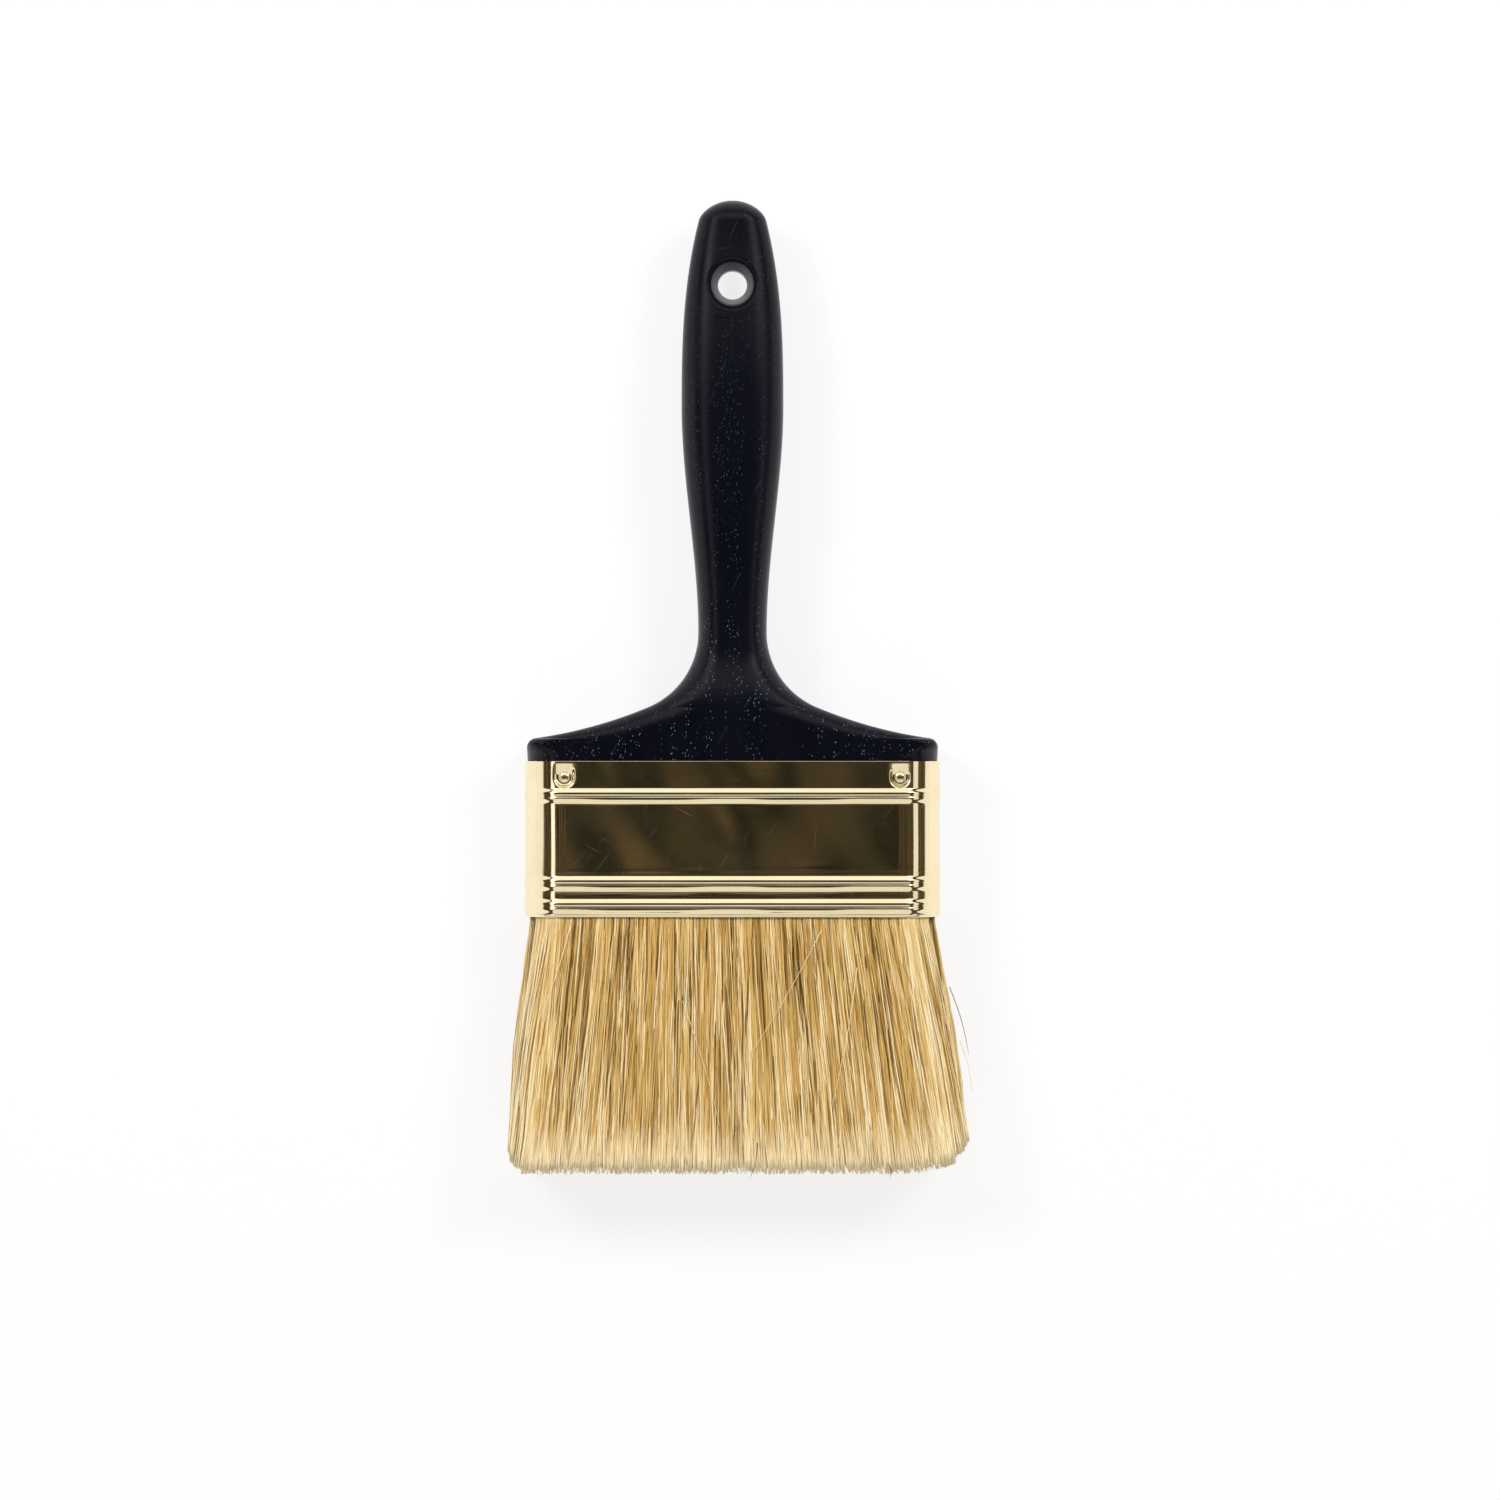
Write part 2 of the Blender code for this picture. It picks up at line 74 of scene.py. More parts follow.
# Ferrule
BEAD_HEIGHT = 0.00045
BEAD_WIDTH = 0.0040
BEAD_GROOVE = 0.00050
BEAD_GROOVE_DEPTH = 0.00008
UPPER_CREST = 0.00025
LOWER_CREST = 0.00030
CREST_WAVE = 150.0
CREST_WAVE_SKEW = 20.0
CREST_WAVE_PHASE = -1.2
CREST_SWELL_LOW = -0.7
CREST_SWELL_HIGH = 0.5
CREST_FADE_START = 0.040
CREST_FADE_END = 0.046
SIDE_BEAD_SHARE = 0.25
SIDE_SWELL = 0.00030
FERRULE_WALL = 0.0005
HALF_WIDTH = (FERRULE_HIGH.x - FERRULE_LOW.x) / 2 - BEAD_HEIGHT
HALF_THICKNESS = (FERRULE_HIGH.z - FERRULE_LOW.z) / 2 - BEAD_HEIGHT
FERRULE_CORNER_RADIUS = 0.0100
LOW_BEAD_RISE = 0.0026
MIDDLE_BEAD_RISE = 0.0081
TOP_BEAD_DROP = 0.0084
BEAD_CENTRES = (LOW_BEAD_RISE, MIDDLE_BEAD_RISE, FERRULE_HEIGHT - TOP_BEAD_DROP)
SHEET_EDGE = 0.00006
MOUTH_CURL = 0.0002
MOUTH_CURL_HEIGHT = 0.0006
SHEET_WAVE = 0.00008
ROLL_MARK_RISE = 0.0032
ROLL_MARK_HEIGHT = 0.00001
ROLL_MARK_WIDTH = 0.0003
ROLL_MARK_WAVE = 40.0

# Each wave of the sheet: its share, its radians per metre along x and y, and its phase
SHEET_WAVES = (
    (1.0, 61.0, 90.0, 0.4),
    (0.8, 137.0, -60.0, 2.1),
    (0.35, 290.0, 170.0, 4.0),
)

# Nails and the dents under them
NAIL_INSET = 0.0096
NAIL_DROP = 0.0039
NAIL_X = HALF_WIDTH - NAIL_INSET
NAIL_Y = FERRULE_HEIGHT - NAIL_DROP
NAIL_HEAD_RADIUS = 0.00145
NAIL_HEAD_HEIGHT = 0.0008
NAIL_HEAD_EDGE = 0.0001
NAIL_SEAT_GAP = 0.0001
NAIL_SHANK_RADIUS = 0.00075
NAIL_LENGTH = 0.0085
NAIL_POINT_LENGTH = 0.0015
NAIL_POINT_RADIUS = 0.00008
DENT_DEPTH = 0.0007
DENT_SEAT = 0.0016
DENT_REACH = 0.0028
DENT_RAMP_SHARE = 0.4

# Handle, with heights above the shoulder's foot
FIT_GAP = 0.0003
SHOULDER_GAP = 0.0001
SHOULDER_Y = FERRULE_HEIGHT + SHOULDER_GAP
INNER_HALF_WIDTH = HALF_WIDTH - FERRULE_WALL - FIT_GAP
INNER_HALF_THICKNESS = HALF_THICKNESS - FERRULE_WALL - FIT_GAP
INNER_CORNER = FERRULE_CORNER_RADIUS - FERRULE_WALL - FIT_GAP
HANDLE_LENGTH = HANDLE_END - SHOULDER_Y
TENON_LENGTH = 0.0140
TENON_CHAMFER = 0.0010
TENON_STEP = 0.0014
SHOULDER_OVERHANG = 0.0005
SHOULDER_HALF_WIDTH = INNER_HALF_WIDTH + SHOULDER_OVERHANG
SHOULDER_SIDE_HEIGHT = 0.0030
SHOULDER_CORNER_RADIUS = 0.0025
SHOULDER_EDGE_RADIUS = 0.0032
SHOULDER_RISE = math.radians(8.0)
SHOULDER_SWEEP_RADIUS = 0.110
SHOULDER_FLAT_HEIGHT = 0.0130
SWEEP_START = SHOULDER_SIDE_HEIGHT + SHOULDER_CORNER_RADIUS
NECK_FILLET_HEIGHT = 0.0140
NECK_RADIUS = 0.0197
NECK_WIDTH = 0.0166
NECK_THICKNESS = 0.0165
GRIP_HEIGHT = 0.0860
GRIP_WIDTH = 0.0247
GRIP_THICKNESS = 0.0185
END_WIDTH = 0.0137
END_THICKNESS = 0.0130
END_ROUND = 0.0051
END_FLAT_SHARE = 0.05
END_TAPER_POWER = 2.7
ROUND_WIDTH_SHARE = 0.76
ROUND_DEPTH_SHARE = 0.80
HOLE_DROP = 0.0206
HOLE_Y = HANDLE_END - HOLE_DROP
HOLE_WAIST_RADIUS = 0.00355
HOLE_WAIST_HALF = 0.0020
HOLE_FLARE = 0.43
HOLE_LIP = 0.0016
HOLE_PATCH = 0.0086
HOLE_PATCH_GAP = 0.0004
HOLE_FACING = 0.1
# Reach round the hanging hole's axis of the painted reflection on its flared sides
HOLE_REFLECTION_RADIUS = 0.0053

# Bristles
LAYERS = ("back", "middle", "front")
SLICE_HALF = 0.0022
LAYER_STEP = 0.0080
TIP_HALF_WIDTH = 0.0559
TIP_HALF_THICKNESS = 0.0122
TIP_SIDE_CORNER = 0.006
TIP_LEAN = 0.0017
LEFT_TIP_CORNER = 0.003
LEFT_TIP_RISE = 0.0035
RIGHT_TIP_CORNER = 0.019
RIGHT_TIP_RISE = 0.0060
STRANDS_PER_LAYER = 4400
SKIN_SHARE = 0.42
SKIN_DEPTH = 0.0005
EDGE_SHARE = 0.08
STRAND_RADIUS = 0.00018
STRAND_SIDES = 3
STRAND_STATIONS = np.array((0.0, 0.10, 0.25, 0.42, 0.60, 0.78, 0.955, 1.0))
ROOT_DEPTH = 0.0050
TUFTS = 110
TUFT_REACH = 0.02
TUFT_PULL = 0.2
TUFT_LEAN = 0.0007
TUFT_TONE = 0.05
BRISTLE_SEED = 40

# How single strands differ in place, length and size
TIP_SCATTER = 0.0007
TIP_WANDER = 0.0010
WANDER_SHARES = (0.5, 1.0, 2.6)
TIP_SLACK = 0.0003
SKIN_SHORT = 0.0004
INNER_SHORT = 0.0014
SKIN_UNEVENNESS = 0.0018
INNER_UNEVENNESS = 0.0014
WORN_SHARE = 0.25
WORN_LENGTH = 0.014
MOUTH_BEND = 0.03
STRAND_BOW = 0.0005
WEAVE_PITCH = (5.0, 12.0)
WEAVE_START = 0.12
WEAVE_ASIDE = 0.00020
SKIN_WEAVE = 0.00022
INNER_WEAVE = 0.00045
STRAND_SIZES = (0.70, 1.35)
STRAND_TAPER = 0.15
TAPER_START = 0.95

# Tones of the strands, from 0 for dark to 1 for pale
MEAN_TONE = 0.48
TONE_SPREAD = 0.20
TONE_DRIFT = 0.05
TONE_LIMITS = (0.01, 0.97)
TONE_WIDTH = 0.006
# Painted light: how much paler the strands get towards both edges, and where across the width that starts
EDGE_PAINTED_LIGHT = 0.25
EDGE_PAINTED_LIGHT_FROM = 0.90
DARK_SHARE = 0.08
DARK_END = 0.94
DARK_TONES = (0.01, 0.14)
PALE_SHARE = 0.12
PALE_TONES = (0.78, 0.97)
CAP_PLACES = (0.006, 0.006, 0.001)

# Loose hairs
STRAY_RADIUS = 0.00013
STRAY_TAPER = 0.4
STRAY_BOW = 0.0006
STRAY_LIFT = 0.0004
STRAY_SLOPE = 0.035
STRAY_SIDE = 0.047
STRAY_SIDE_HEIGHT = 0.0040

# Stations, points and rows of the meshes
SIDE_STATIONS = 8
CORNER_STATIONS = 21
SWEEP_STATIONS = 60
NECK_STATIONS = 50
SWELL_STATIONS = 70
TAPER_STATIONS = 60
END_STATIONS = 25
HANDLE_CORNER_POINTS = 24
HANDLE_FACE_POINTS = 12
HANDLE_SIDE_POINTS = 3
HOLE_POINTS = 120
HOLE_RINGS = 40
HOLE_RING_POWER = 1.35
BEAD_ROWS = 45
PANEL_ROWS = 40
BAND_ROWS = 34
INNER_ROWS = 24
CORNER_POINTS = 22
NAIL_CORNER_POINTS = 18
NAIL_FACE_POINTS = 16
FACE_POINTS = 38
FERRULE_SIDE_POINTS = 2
NAIL_POINTS = 48
NAIL_DOME_RINGS = 18

# Photograph and camera
PHOTO_SIZE = 1500
PIXELS_PER_METRE = 4120.0
PHOTO_MIDDLE_X = 732.5
PHOTO_MOUTH_Y = 916.0
CAMERA_HEIGHT = 1.2
SENSOR_WIDTH = 36.0

# Floor, room and lamps
FLOOR_HALF = 4.0
FLOOR_GAP = 0.0002
WALL_TILT = 0.067
PATCH_SCALE = 28.0
BROWN_SLOPE = 2.2
BROWN_LIMIT = 0.08
KEY_LEAN = 46.0
KEY_DISTANCE = 1.2
KEY_SIZE = 0.34
KEY_RADIANCE = 2.5
FILL_RADIANCE = 16.5


def mix(start, end, share):
    return start + (end - start) * share


def ease(start, end, value):
    """0 before start and 1 after end, with a smooth S between them."""
    share = np.clip((value - start) / (end - start), 0.0, 1.0)
    return share * share * (3.0 - 2.0 * share)


def smooth_min(first, second, width):
    """The smaller of two heights, with the corner between them rounded over this width."""
    near = np.maximum(width - np.abs(first - second), 0.0) / width
    return np.minimum(first, second) - near * near * width / 4


# Node helpers
def set_input(tree, socket, value):
    """Links a socket to an input, or sets the input to a value, where three numbers are a colour."""
    if isinstance(value, bpy.types.NodeSocket):
        tree.links.new(value, socket)
    elif socket.type == "RGBA" and len(value) == 3:
        socket.default_value = (*value, 1.0)
    else:
        socket.default_value = value


def add_node(tree, kind, inputs=(), **settings):
    node = tree.nodes.new(kind)
    for name, value in settings.items():
        setattr(node, name, value)
    for name, value in dict(inputs).items():
        set_input(tree, node.inputs[name], value)
    return node


def add_ramp(tree, factor, *stops):
    """A colour ramp through (position, colour) stops, where a single number stands for a grey."""
    node = add_node(tree, "ShaderNodeValToRGB", {"Fac": factor})
    elements = node.color_ramp.elements
    while len(elements) < len(stops):
        elements.new(0.5)
    for element, (position, colour) in zip(elements, stops):
        element.position = position
        element.color = (*np.broadcast_to(colour, 3), 1.0)
    return node.outputs["Color"]


def add_math(tree, operation, first, second):
    return add_node(tree, "ShaderNodeMath", {0: first, 1: second}, operation=operation).outputs[0]


def add_mix(tree, factor, first, second):
    """A mix of two colours. The mix node has one set of sockets for each kind of data."""
    node = add_node(tree, "ShaderNodeMix", data_type="RGBA")
    sockets = {socket.identifier: socket for socket in node.inputs}
    set_input(tree, sockets["Factor_Float"], factor)
    set_input(tree, sockets["A_Color"], first)
    set_input(tree, sockets["B_Color"], second)
    return next(socket for socket in node.outputs if socket.identifier == "Result_Color")


def own_place(tree, scale, turn=0.0):
    """The piece's own coordinates, turned about z by this many degrees, times a scale for each axis."""
    place = add_node(tree, "ShaderNodeTexCoord").outputs["Object"]
    if turn:
        spin = (0.0, 0.0, math.radians(turn))
        place = add_node(tree, "ShaderNodeMapping", {"Vector": place, "Rotation": spin}).outputs[0]
    return add_node(tree, "ShaderNodeMapping", {"Vector": place, "Scale": scale}).outputs[0]


def add_noise(tree, scale, detail=3.0, roughness=0.5, turn=0.0):
    inputs = {"Vector": own_place(tree, scale, turn), "Scale": 1.0}
    inputs.update({"Detail": detail, "Roughness": roughness})
    return add_node(tree, "ShaderNodeTexNoise", inputs).outputs["Fac"]


def new_material(name, **values):
    """A material and its shader, with the values that are the same all over set on the shader."""
    material = bpy.data.materials.new(name)
    material.use_nodes = True
    tree = material.node_tree
    shader = tree.nodes["Principled BSDF"]
    connect(tree, shader, **values)
    return material, tree, shader


def connect(tree, shader, **inputs):
    for name, value in inputs.items():
        set_input(tree, shader.inputs[name.replace("_", " ")], value)


def add_bump(tree, shader, height, strength, distance):
    inputs = {"Height": height, "Strength": strength, "Distance": distance}
    connect(tree, shader, Normal=add_node(tree, "ShaderNodeBump", inputs).outputs[0])


# Materials
def lacquer_material():
    """Black lacquer on wood: pale dust in the pores of the grain, faint scratches and soft gloss.

    The flared sides of the hanging hole are painted grey: a painted reflection of the pale floor, which
    they mirror at a grazing angle.
    """
    material, tree, shader = new_material("black_lacquer", Specular_IOR_Level=0.23)
    cells = {"Vector": own_place(tree, (1700.0, 900.0, 1700.0)), "Scale": 1.0}
    pores = add_node(tree, "ShaderNodeTexVoronoi", cells).outputs["Distance"]
    dots = add_ramp(tree, pores, (0.0, 1.0), (0.12, 0.8), (0.22, 0.0))
    streaks = add_ramp(tree, add_noise(tree, (520.0, 14.0, 520.0), 2.0), (0.46, 0.0), (0.55, 1.0))
    patches = add_ramp(tree, add_noise(tree, (60.0, 90.0, 60.0), 3.0), (0.38, 0.2), (0.52, 1.0))
    specks = add_math(tree, "MULTIPLY", add_math(tree, "MULTIPLY", dots, streaks), patches)
    place = add_node(tree, "ShaderNodeTexCoord").outputs["Object"]
    up = add_node(tree, "ShaderNodeSeparateXYZ", {"Vector": place}).outputs["Y"]
    lower_part = add_math(tree, "MULTIPLY", up, 1 / HANDLE_END)
    lower_part = add_ramp(tree, lower_part, (0.34, 1.0), (0.52, 0.45), (0.72, 0.25))
    specks = add_math(tree, "MULTIPLY", specks, lower_part)
    scratches = add_noise(tree, (2600.0, 90.0, 600.0), 1.0, turn=25.0)
    scratches = add_ramp(tree, scratches, (0.73, 0.0), (0.78, 0.14))
    marks = add_math(tree, "MAXIMUM", specks, scratches)
    shade = add_noise(tree, (30.0, 12.0, 30.0), 3.0)
    base = add_mix(tree, shade, (0.0004, 0.0007, 0.0034), (0.0009, 0.0016, 0.0060))
    base = add_mix(tree, marks, base, (0.16, 0.19, 0.23))
    # Painted reflection: the flared sides of the hanging hole are coloured grey in place of the pale floor
    # they mirror
    across = add_node(tree, "ShaderNodeMapping", {"Vector": place, "Scale": (1.0, 1.0, 0.0)})
    from_hole = add_node(
        tree,
        "ShaderNodeVectorMath",
        {0: across.outputs[0], 1: (0.0, HOLE_Y, 0.0)},
        operation="DISTANCE",
    ).outputs["Value"]
    from_hole = add_math(tree, "MULTIPLY", from_hole, 0.5 / HOLE_REFLECTION_RADIUS)
    painted_reflection = add_ramp(tree, from_hole, (0.36, 1.0), (0.46, 0.7), (0.50, 0.0))
    connect(tree, shader, Base_Color=add_mix(tree, painted_reflection, base, (0.15, 0.15, 0.16)))
    gloss = add_noise(tree, (160.0, 60.0, 160.0), 3.0)
    connect(tree, shader, Roughness=add_ramp(tree, gloss, (0.3, 0.25), (0.7, 0.33)))
    peel = add_noise(tree, (900.0, 500.0, 900.0), 2.0)
    height = add_math(tree, "SUBTRACT", add_math(tree, "MULTIPLY", peel, 0.35), specks)
    add_bump(tree, shader, height, 0.25, 0.00004)
    return material


def brass_material(name, roughness):
    """Bright brass plating: rolling lines, hairline scratches, and smudges that dull its mirror."""
    material, tree, shader = new_material(name, Metallic=1.0)
    smudge = add_noise(tree, (70.0, 110.0, 70.0), 4.0, 0.6)
    smudge = add_ramp(tree, smudge, (0.45, 0.0), (0.75, 1.0))
    lines = add_ramp(tree, add_noise(tree, (60.0, 5200.0, 60.0), 2.0), (0.55, 0.0), (0.80, 1.0))
    scratches = 0.0
    for turn in (35.0, -62.0, 8.0):
        hairs = add_noise(tree, (4200.0, 70.0, 900.0), 1.0, turn=turn)
        hairs = add_ramp(tree, hairs, (0.74, 0.0), (0.80, 1.0))
        scratches = add_math(tree, "MAXIMUM", hairs, scratches)
    connect(tree, shader, Base_Color=add_mix(tree, smudge, (0.96, 0.84, 0.55), (0.90, 0.78, 0.50)))
    dull = add_math(tree, "MULTIPLY", smudge, 0.05)
    dull = add_math(tree, "ADD", dull, add_math(tree, "MULTIPLY", scratches, 0.16))
    connect(tree, shader, Roughness=add_math(tree, "ADD", dull, roughness))
    height = add_math(tree, "ADD", add_math(tree, "MULTIPLY", lines, 0.3), scratches)
    add_bump(tree, shader, height, 0.12, 0.00002)
    return material


def bristle_material():
    """Natural bristle: each strand has its own tone, and all go from golden roots to cream tips."""
    material, tree, shader = new_material("bristle", Roughness=0.45, Specular_IOR_Level=0.35)
    place = add_node(tree, "ShaderNodeUVMap", uv_map="OFBake").outputs["UV"]
    parts = add_node(tree, "ShaderNodeSeparateXYZ", {"Vector": place}).outputs
    paler = add_ramp(tree, parts["Y"], (0.0, 0.0), (0.5, 0.05), (0.8, 0.15), (1.0, 0.28))
    tone = add_ramp(
        tree,
        add_math(tree, "ADD", parts["X"], paler),
        (0.00, (0.06, 0.035, 0.012)),
        (0.12, (0.22, 0.125, 0.034)),
        (0.32, (0.53, 0.310, 0.075)),
        (0.55, (0.71, 0.455, 0.135)),
        (0.80, (0.90, 0.670, 0.310)),
        (1.00, (0.98, 0.840, 0.540)),
    )
    tips = add_ramp(tree, parts["Y"], (0.83, 0.0), (0.93, 0.55), (0.985, 1.0))
    connect(tree, shader, Base_Color=add_mix(tree, tips, tone, (1.0, 0.85, 0.54)))
    return material


def resin_material():
    material, tree, shader = new_material("setting_resin", Specular_IOR_Level=0.4)
    cloud = add_noise(tree, (250.0, 250.0, 250.0), 4.0)
    connect(tree, shader, Base_Color=add_mix(tree, cloud, (0.42, 0.30, 0.14), (0.62, 0.49, 0.27)))
    connect(tree, shader, Roughness=add_ramp(tree, cloud, (0.3, 0.35), (0.7, 0.55)))
    add_bump(tree, shader, cloud, 0.2, 0.0001)
    return material


def plug_material():
    material, tree, shader = new_material("plug_wood", Specular_IOR_Level=0.3)
    grain = add_noise(tree, (90.0, 1400.0, 1400.0), 4.0)
    connect(tree, shader, Base_Color=add_mix(tree, grain, (0.48, 0.33, 0.18), (0.72, 0.56, 0.36)))
    connect(tree, shader, Roughness=add_ramp(tree, grain, (0.3, 0.55), (0.7, 0.75)))
    add_bump(tree, shader, grain, 0.3, 0.00008)
    return material


# Mesh helpers
def place_piece(name, data, material, node, crease=None):
    """Puts a finished mesh in the brush's frame, on the one body, in place of its solid.

    Edges that turn by more than crease, in degrees, stay sharp.
    """
    piece = bpy.data.objects.new(name, data)
    bpy.context.scene.collection.objects.link(piece)
    piece.location = (0.0, MOUTH_Y, MIDDLE_Z)
    data.materials.append(material)
    if crease is not None:
        data.shade_smooth()
        data.set_sharp_from_angle(angle=math.radians(crease))
    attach(piece, "root")
    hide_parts(node)


def finish_mesh(mesh, name):
    data = bpy.data.meshes.new(name)
    bmesh.ops.recalc_face_normals(mesh, faces=mesh.faces)
    mesh.to_mesh(data)
    mesh.free()
    return data


def add_ring(mesh, x, y, z):
    """A ring of vertices, where y or z may be one number for the whole ring."""
    return [mesh.verts.new(point) for point in zip(*np.broadcast_arrays(x, y, z))]


def bridge(mesh, lower, upper):
    """Faces between two closed rings of vertices."""
    for i in range(len(lower)):
        mesh.faces.new((lower[i - 1], lower[i], upper[i], upper[i - 1]))


def section(half_width, half, round_x, round_z, turns, shares, side_steps):
    """x and z round a rectangle with elliptical corners, from the middle of its right side.

    turns are the angles of a corner's points, and shares place points from the corner to the middle.
    """
    corner_x = half_width - round_x + round_x * np.cos(turns)
    corner_z = half - round_z + round_z * np.sin(turns)
    flat_x = (half_width - round_x) * (1 - shares)
    side_z = np.linspace(0.0, half - round_z, side_steps, endpoint=False)
    x = np.concatenate((np.full(side_steps, half_width), corner_x, flat_x))
    z = np.concatenate((side_z, corner_z, np.full(len(shares), half)))
    upper_x = np.concatenate((x, [0.0], -x[:0:-1]))
    upper_z = np.concatenate((z, [half], z[:0:-1]))
    return np.concatenate((upper_x, -upper_x)), np.concatenate((upper_z, -upper_z))


def even(start, end, count):
    """Evenly spaced numbers from start, without the end."""
    return np.linspace(start, end, count, endpoint=False)


# Handle
def handle_stations():
    """Height, half width and its slope at stations up the handle's side, and the neck's height."""
    rise = math.sin(SHOULDER_RISE)
    run = SHOULDER_HALF_WIDTH - NECK_WIDTH / 2 - NECK_RADIUS - SHOULDER_CORNER_RADIUS * (1 - rise)
    sweep_end = math.asin((run + SHOULDER_SWEEP_RADIUS * rise) / (SHOULDER_SWEEP_RADIUS - NECK_RADIUS))
    heights = np.linspace(0.0, SHOULDER_SIDE_HEIGHT, SIDE_STATIONS)
    stations = [(height, SHOULDER_HALF_WIDTH, 0.0) for height in heights]
    for angle in np.linspace(0.0, math.pi / 2 - SHOULDER_RISE, CORNER_STATIONS)[1:]:
        height = SHOULDER_SIDE_HEIGHT + SHOULDER_CORNER_RADIUS * math.sin(angle)
        width = SHOULDER_HALF_WIDTH - SHOULDER_CORNER_RADIUS * (1 - math.cos(angle))
        stations.append((height, width, -math.tan(angle)))
    for radius, start, end, count in (
        (SHOULDER_SWEEP_RADIUS, SHOULDER_RISE, sweep_end, SWEEP_STATIONS),
        (NECK_RADIUS, sweep_end, math.pi / 2, NECK_STATIONS),
    ):
        height, width, _ = stations[-1]
        for angle in np.linspace(start, end, count + 1)[1:]:
            climbed = height + radius * (math.cos(start) - math.cos(angle))
            narrowed = width - radius * (math.sin(angle) - math.sin(start))
            stations.append((climbed, narrowed, -1 / math.tan(angle)))
    neck_height = stations[-1][0]
    round_start = HANDLE_LENGTH - END_ROUND
    turn = np.linspace(0.0, math.pi / 2, END_STATIONS)[1:]
    heights = np.concatenate(
        (
            np.linspace(neck_height, GRIP_HEIGHT, SWELL_STATIONS)[1:],
            np.linspace(GRIP_HEIGHT, round_start, TAPER_STATIONS)[1:],
            round_start + END_ROUND * np.sin(turn),
        )
    )
    stations += [(height, float(grip_width(height, neck_height)), 0.0) for height in heights]
    return stations, neck_height


def end_rounding(height):
    past = np.maximum(height - (HANDLE_LENGTH - END_ROUND), 0.0) / END_ROUND
    return np.maximum(np.sqrt(np.maximum(1.0 - past * past, 0.0)), END_FLAT_SHARE)


def grip_width(height, neck_height):
    """Half width above the neck."""
    swell = mix(NECK_WIDTH / 2, GRIP_WIDTH / 2, ease(neck_height, GRIP_HEIGHT, height))
    share = np.maximum(height - GRIP_HEIGHT, 0.0) / (HANDLE_LENGTH - GRIP_HEIGHT)
    taper = (END_WIDTH - GRIP_WIDTH) / 2 * share**END_TAPER_POWER
    return (swell + taper) * end_rounding(height)


def half_thickness(height, neck_height):
    fillet = ease(SHOULDER_FLAT_HEIGHT, SHOULDER_FLAT_HEIGHT + NECK_FILLET_HEIGHT, height)
    half = mix(INNER_HALF_THICKNESS, NECK_THICKNESS / 2, fillet)
    half = mix(half, GRIP_THICKNESS / 2, ease(neck_height, GRIP_HEIGHT, height))
    half = mix(half, END_THICKNESS / 2, ease(GRIP_HEIGHT, HANDLE_LENGTH, height))
    return half * end_rounding(height)


def corner_rounds(height, width, slope, half, neck_height):
    """The corner's two radii: the ferrule's at the side, a round-over up the sweep, then the grip's."""
    edge = mix(INNER_CORNER, SHOULDER_EDGE_RADIUS, ease(0.0, SWEEP_START, height))
    blend = ease(SWEEP_START, neck_height, height)
    round_x = mix(edge, ROUND_WIDTH_SHARE * width, blend) * math.hypot(1.0, slope)
    round_z = mix(edge, ROUND_DEPTH_SHARE * half, blend)
    return min(round_x, ROUND_DEPTH_SHARE * width), round_z


def hole_surface(x, y, neck_height):
    """Height of the handle's front round the hanging hole, with the flared hole and its eased lip."""
    width = grip_width(y - SHOULDER_Y, neck_height)
    half = half_thickness(y - SHOULDER_Y, neck_height)
    into = np.maximum(np.abs(x) / width - 1 + ROUND_WIDTH_SHARE, 0.0) / ROUND_WIDTH_SHARE
    drop = 1 - np.sqrt(np.maximum(1 - into * into, 0.0))
    face = half * (1 - ROUND_DEPTH_SHARE * drop)
    radius = np.hypot(x, y - HOLE_Y)
    flare = HOLE_WAIST_HALF + (radius - HOLE_WAIST_RADIUS) / HOLE_FLARE
    return smooth_min(face, flare, HOLE_LIP)


def cut_hole(mesh, neck_height):
    """Takes out the faces round the hole and fills the place with rings that follow its surface."""
    doomed = []
    for face in mesh.faces:
        reach = min(math.hypot(vert.co.x, vert.co.y - HOLE_Y) for vert in face.verts)
        if reach < HOLE_PATCH + HOLE_PATCH_GAP and abs(face.normal.z) > HOLE_FACING:
            doomed.append(face)
    bmesh.ops.delete(mesh, geom=doomed, context="FACES")
    turn = even(0.0, 2 * math.pi, HOLE_POINTS)
    crowded = np.linspace(0.0, 1.0, HOLE_RINGS) ** HOLE_RING_POWER
    radii = mix(HOLE_WAIST_RADIUS, HOLE_PATCH, crowded)
    waists = []
    for side in (-1.0, 1.0):
        rings = []
        for radius in radii:
            x, y = radius * np.cos(turn), HOLE_Y + radius * np.sin(turn)
            rings.append(add_ring(mesh, x, y, side * hole_surface(x, y, neck_height)))
        for lower, upper in zip(rings, rings[1:]):
            bridge(mesh, lower, upper)
        waist = set(rings[0])
        rim = [edge for edge in mesh.edges if edge.is_boundary and edge.verts[0].co.z * side > 0]
        rim = [edge for edge in rim if not waist.issuperset(edge.verts)]
        bmesh.ops.triangle_fill(mesh, use_beauty=True, edges=rim, normal=(0.0, 0.0, side))
        waists.append(rings[0])
    bridge(mesh, *waists)


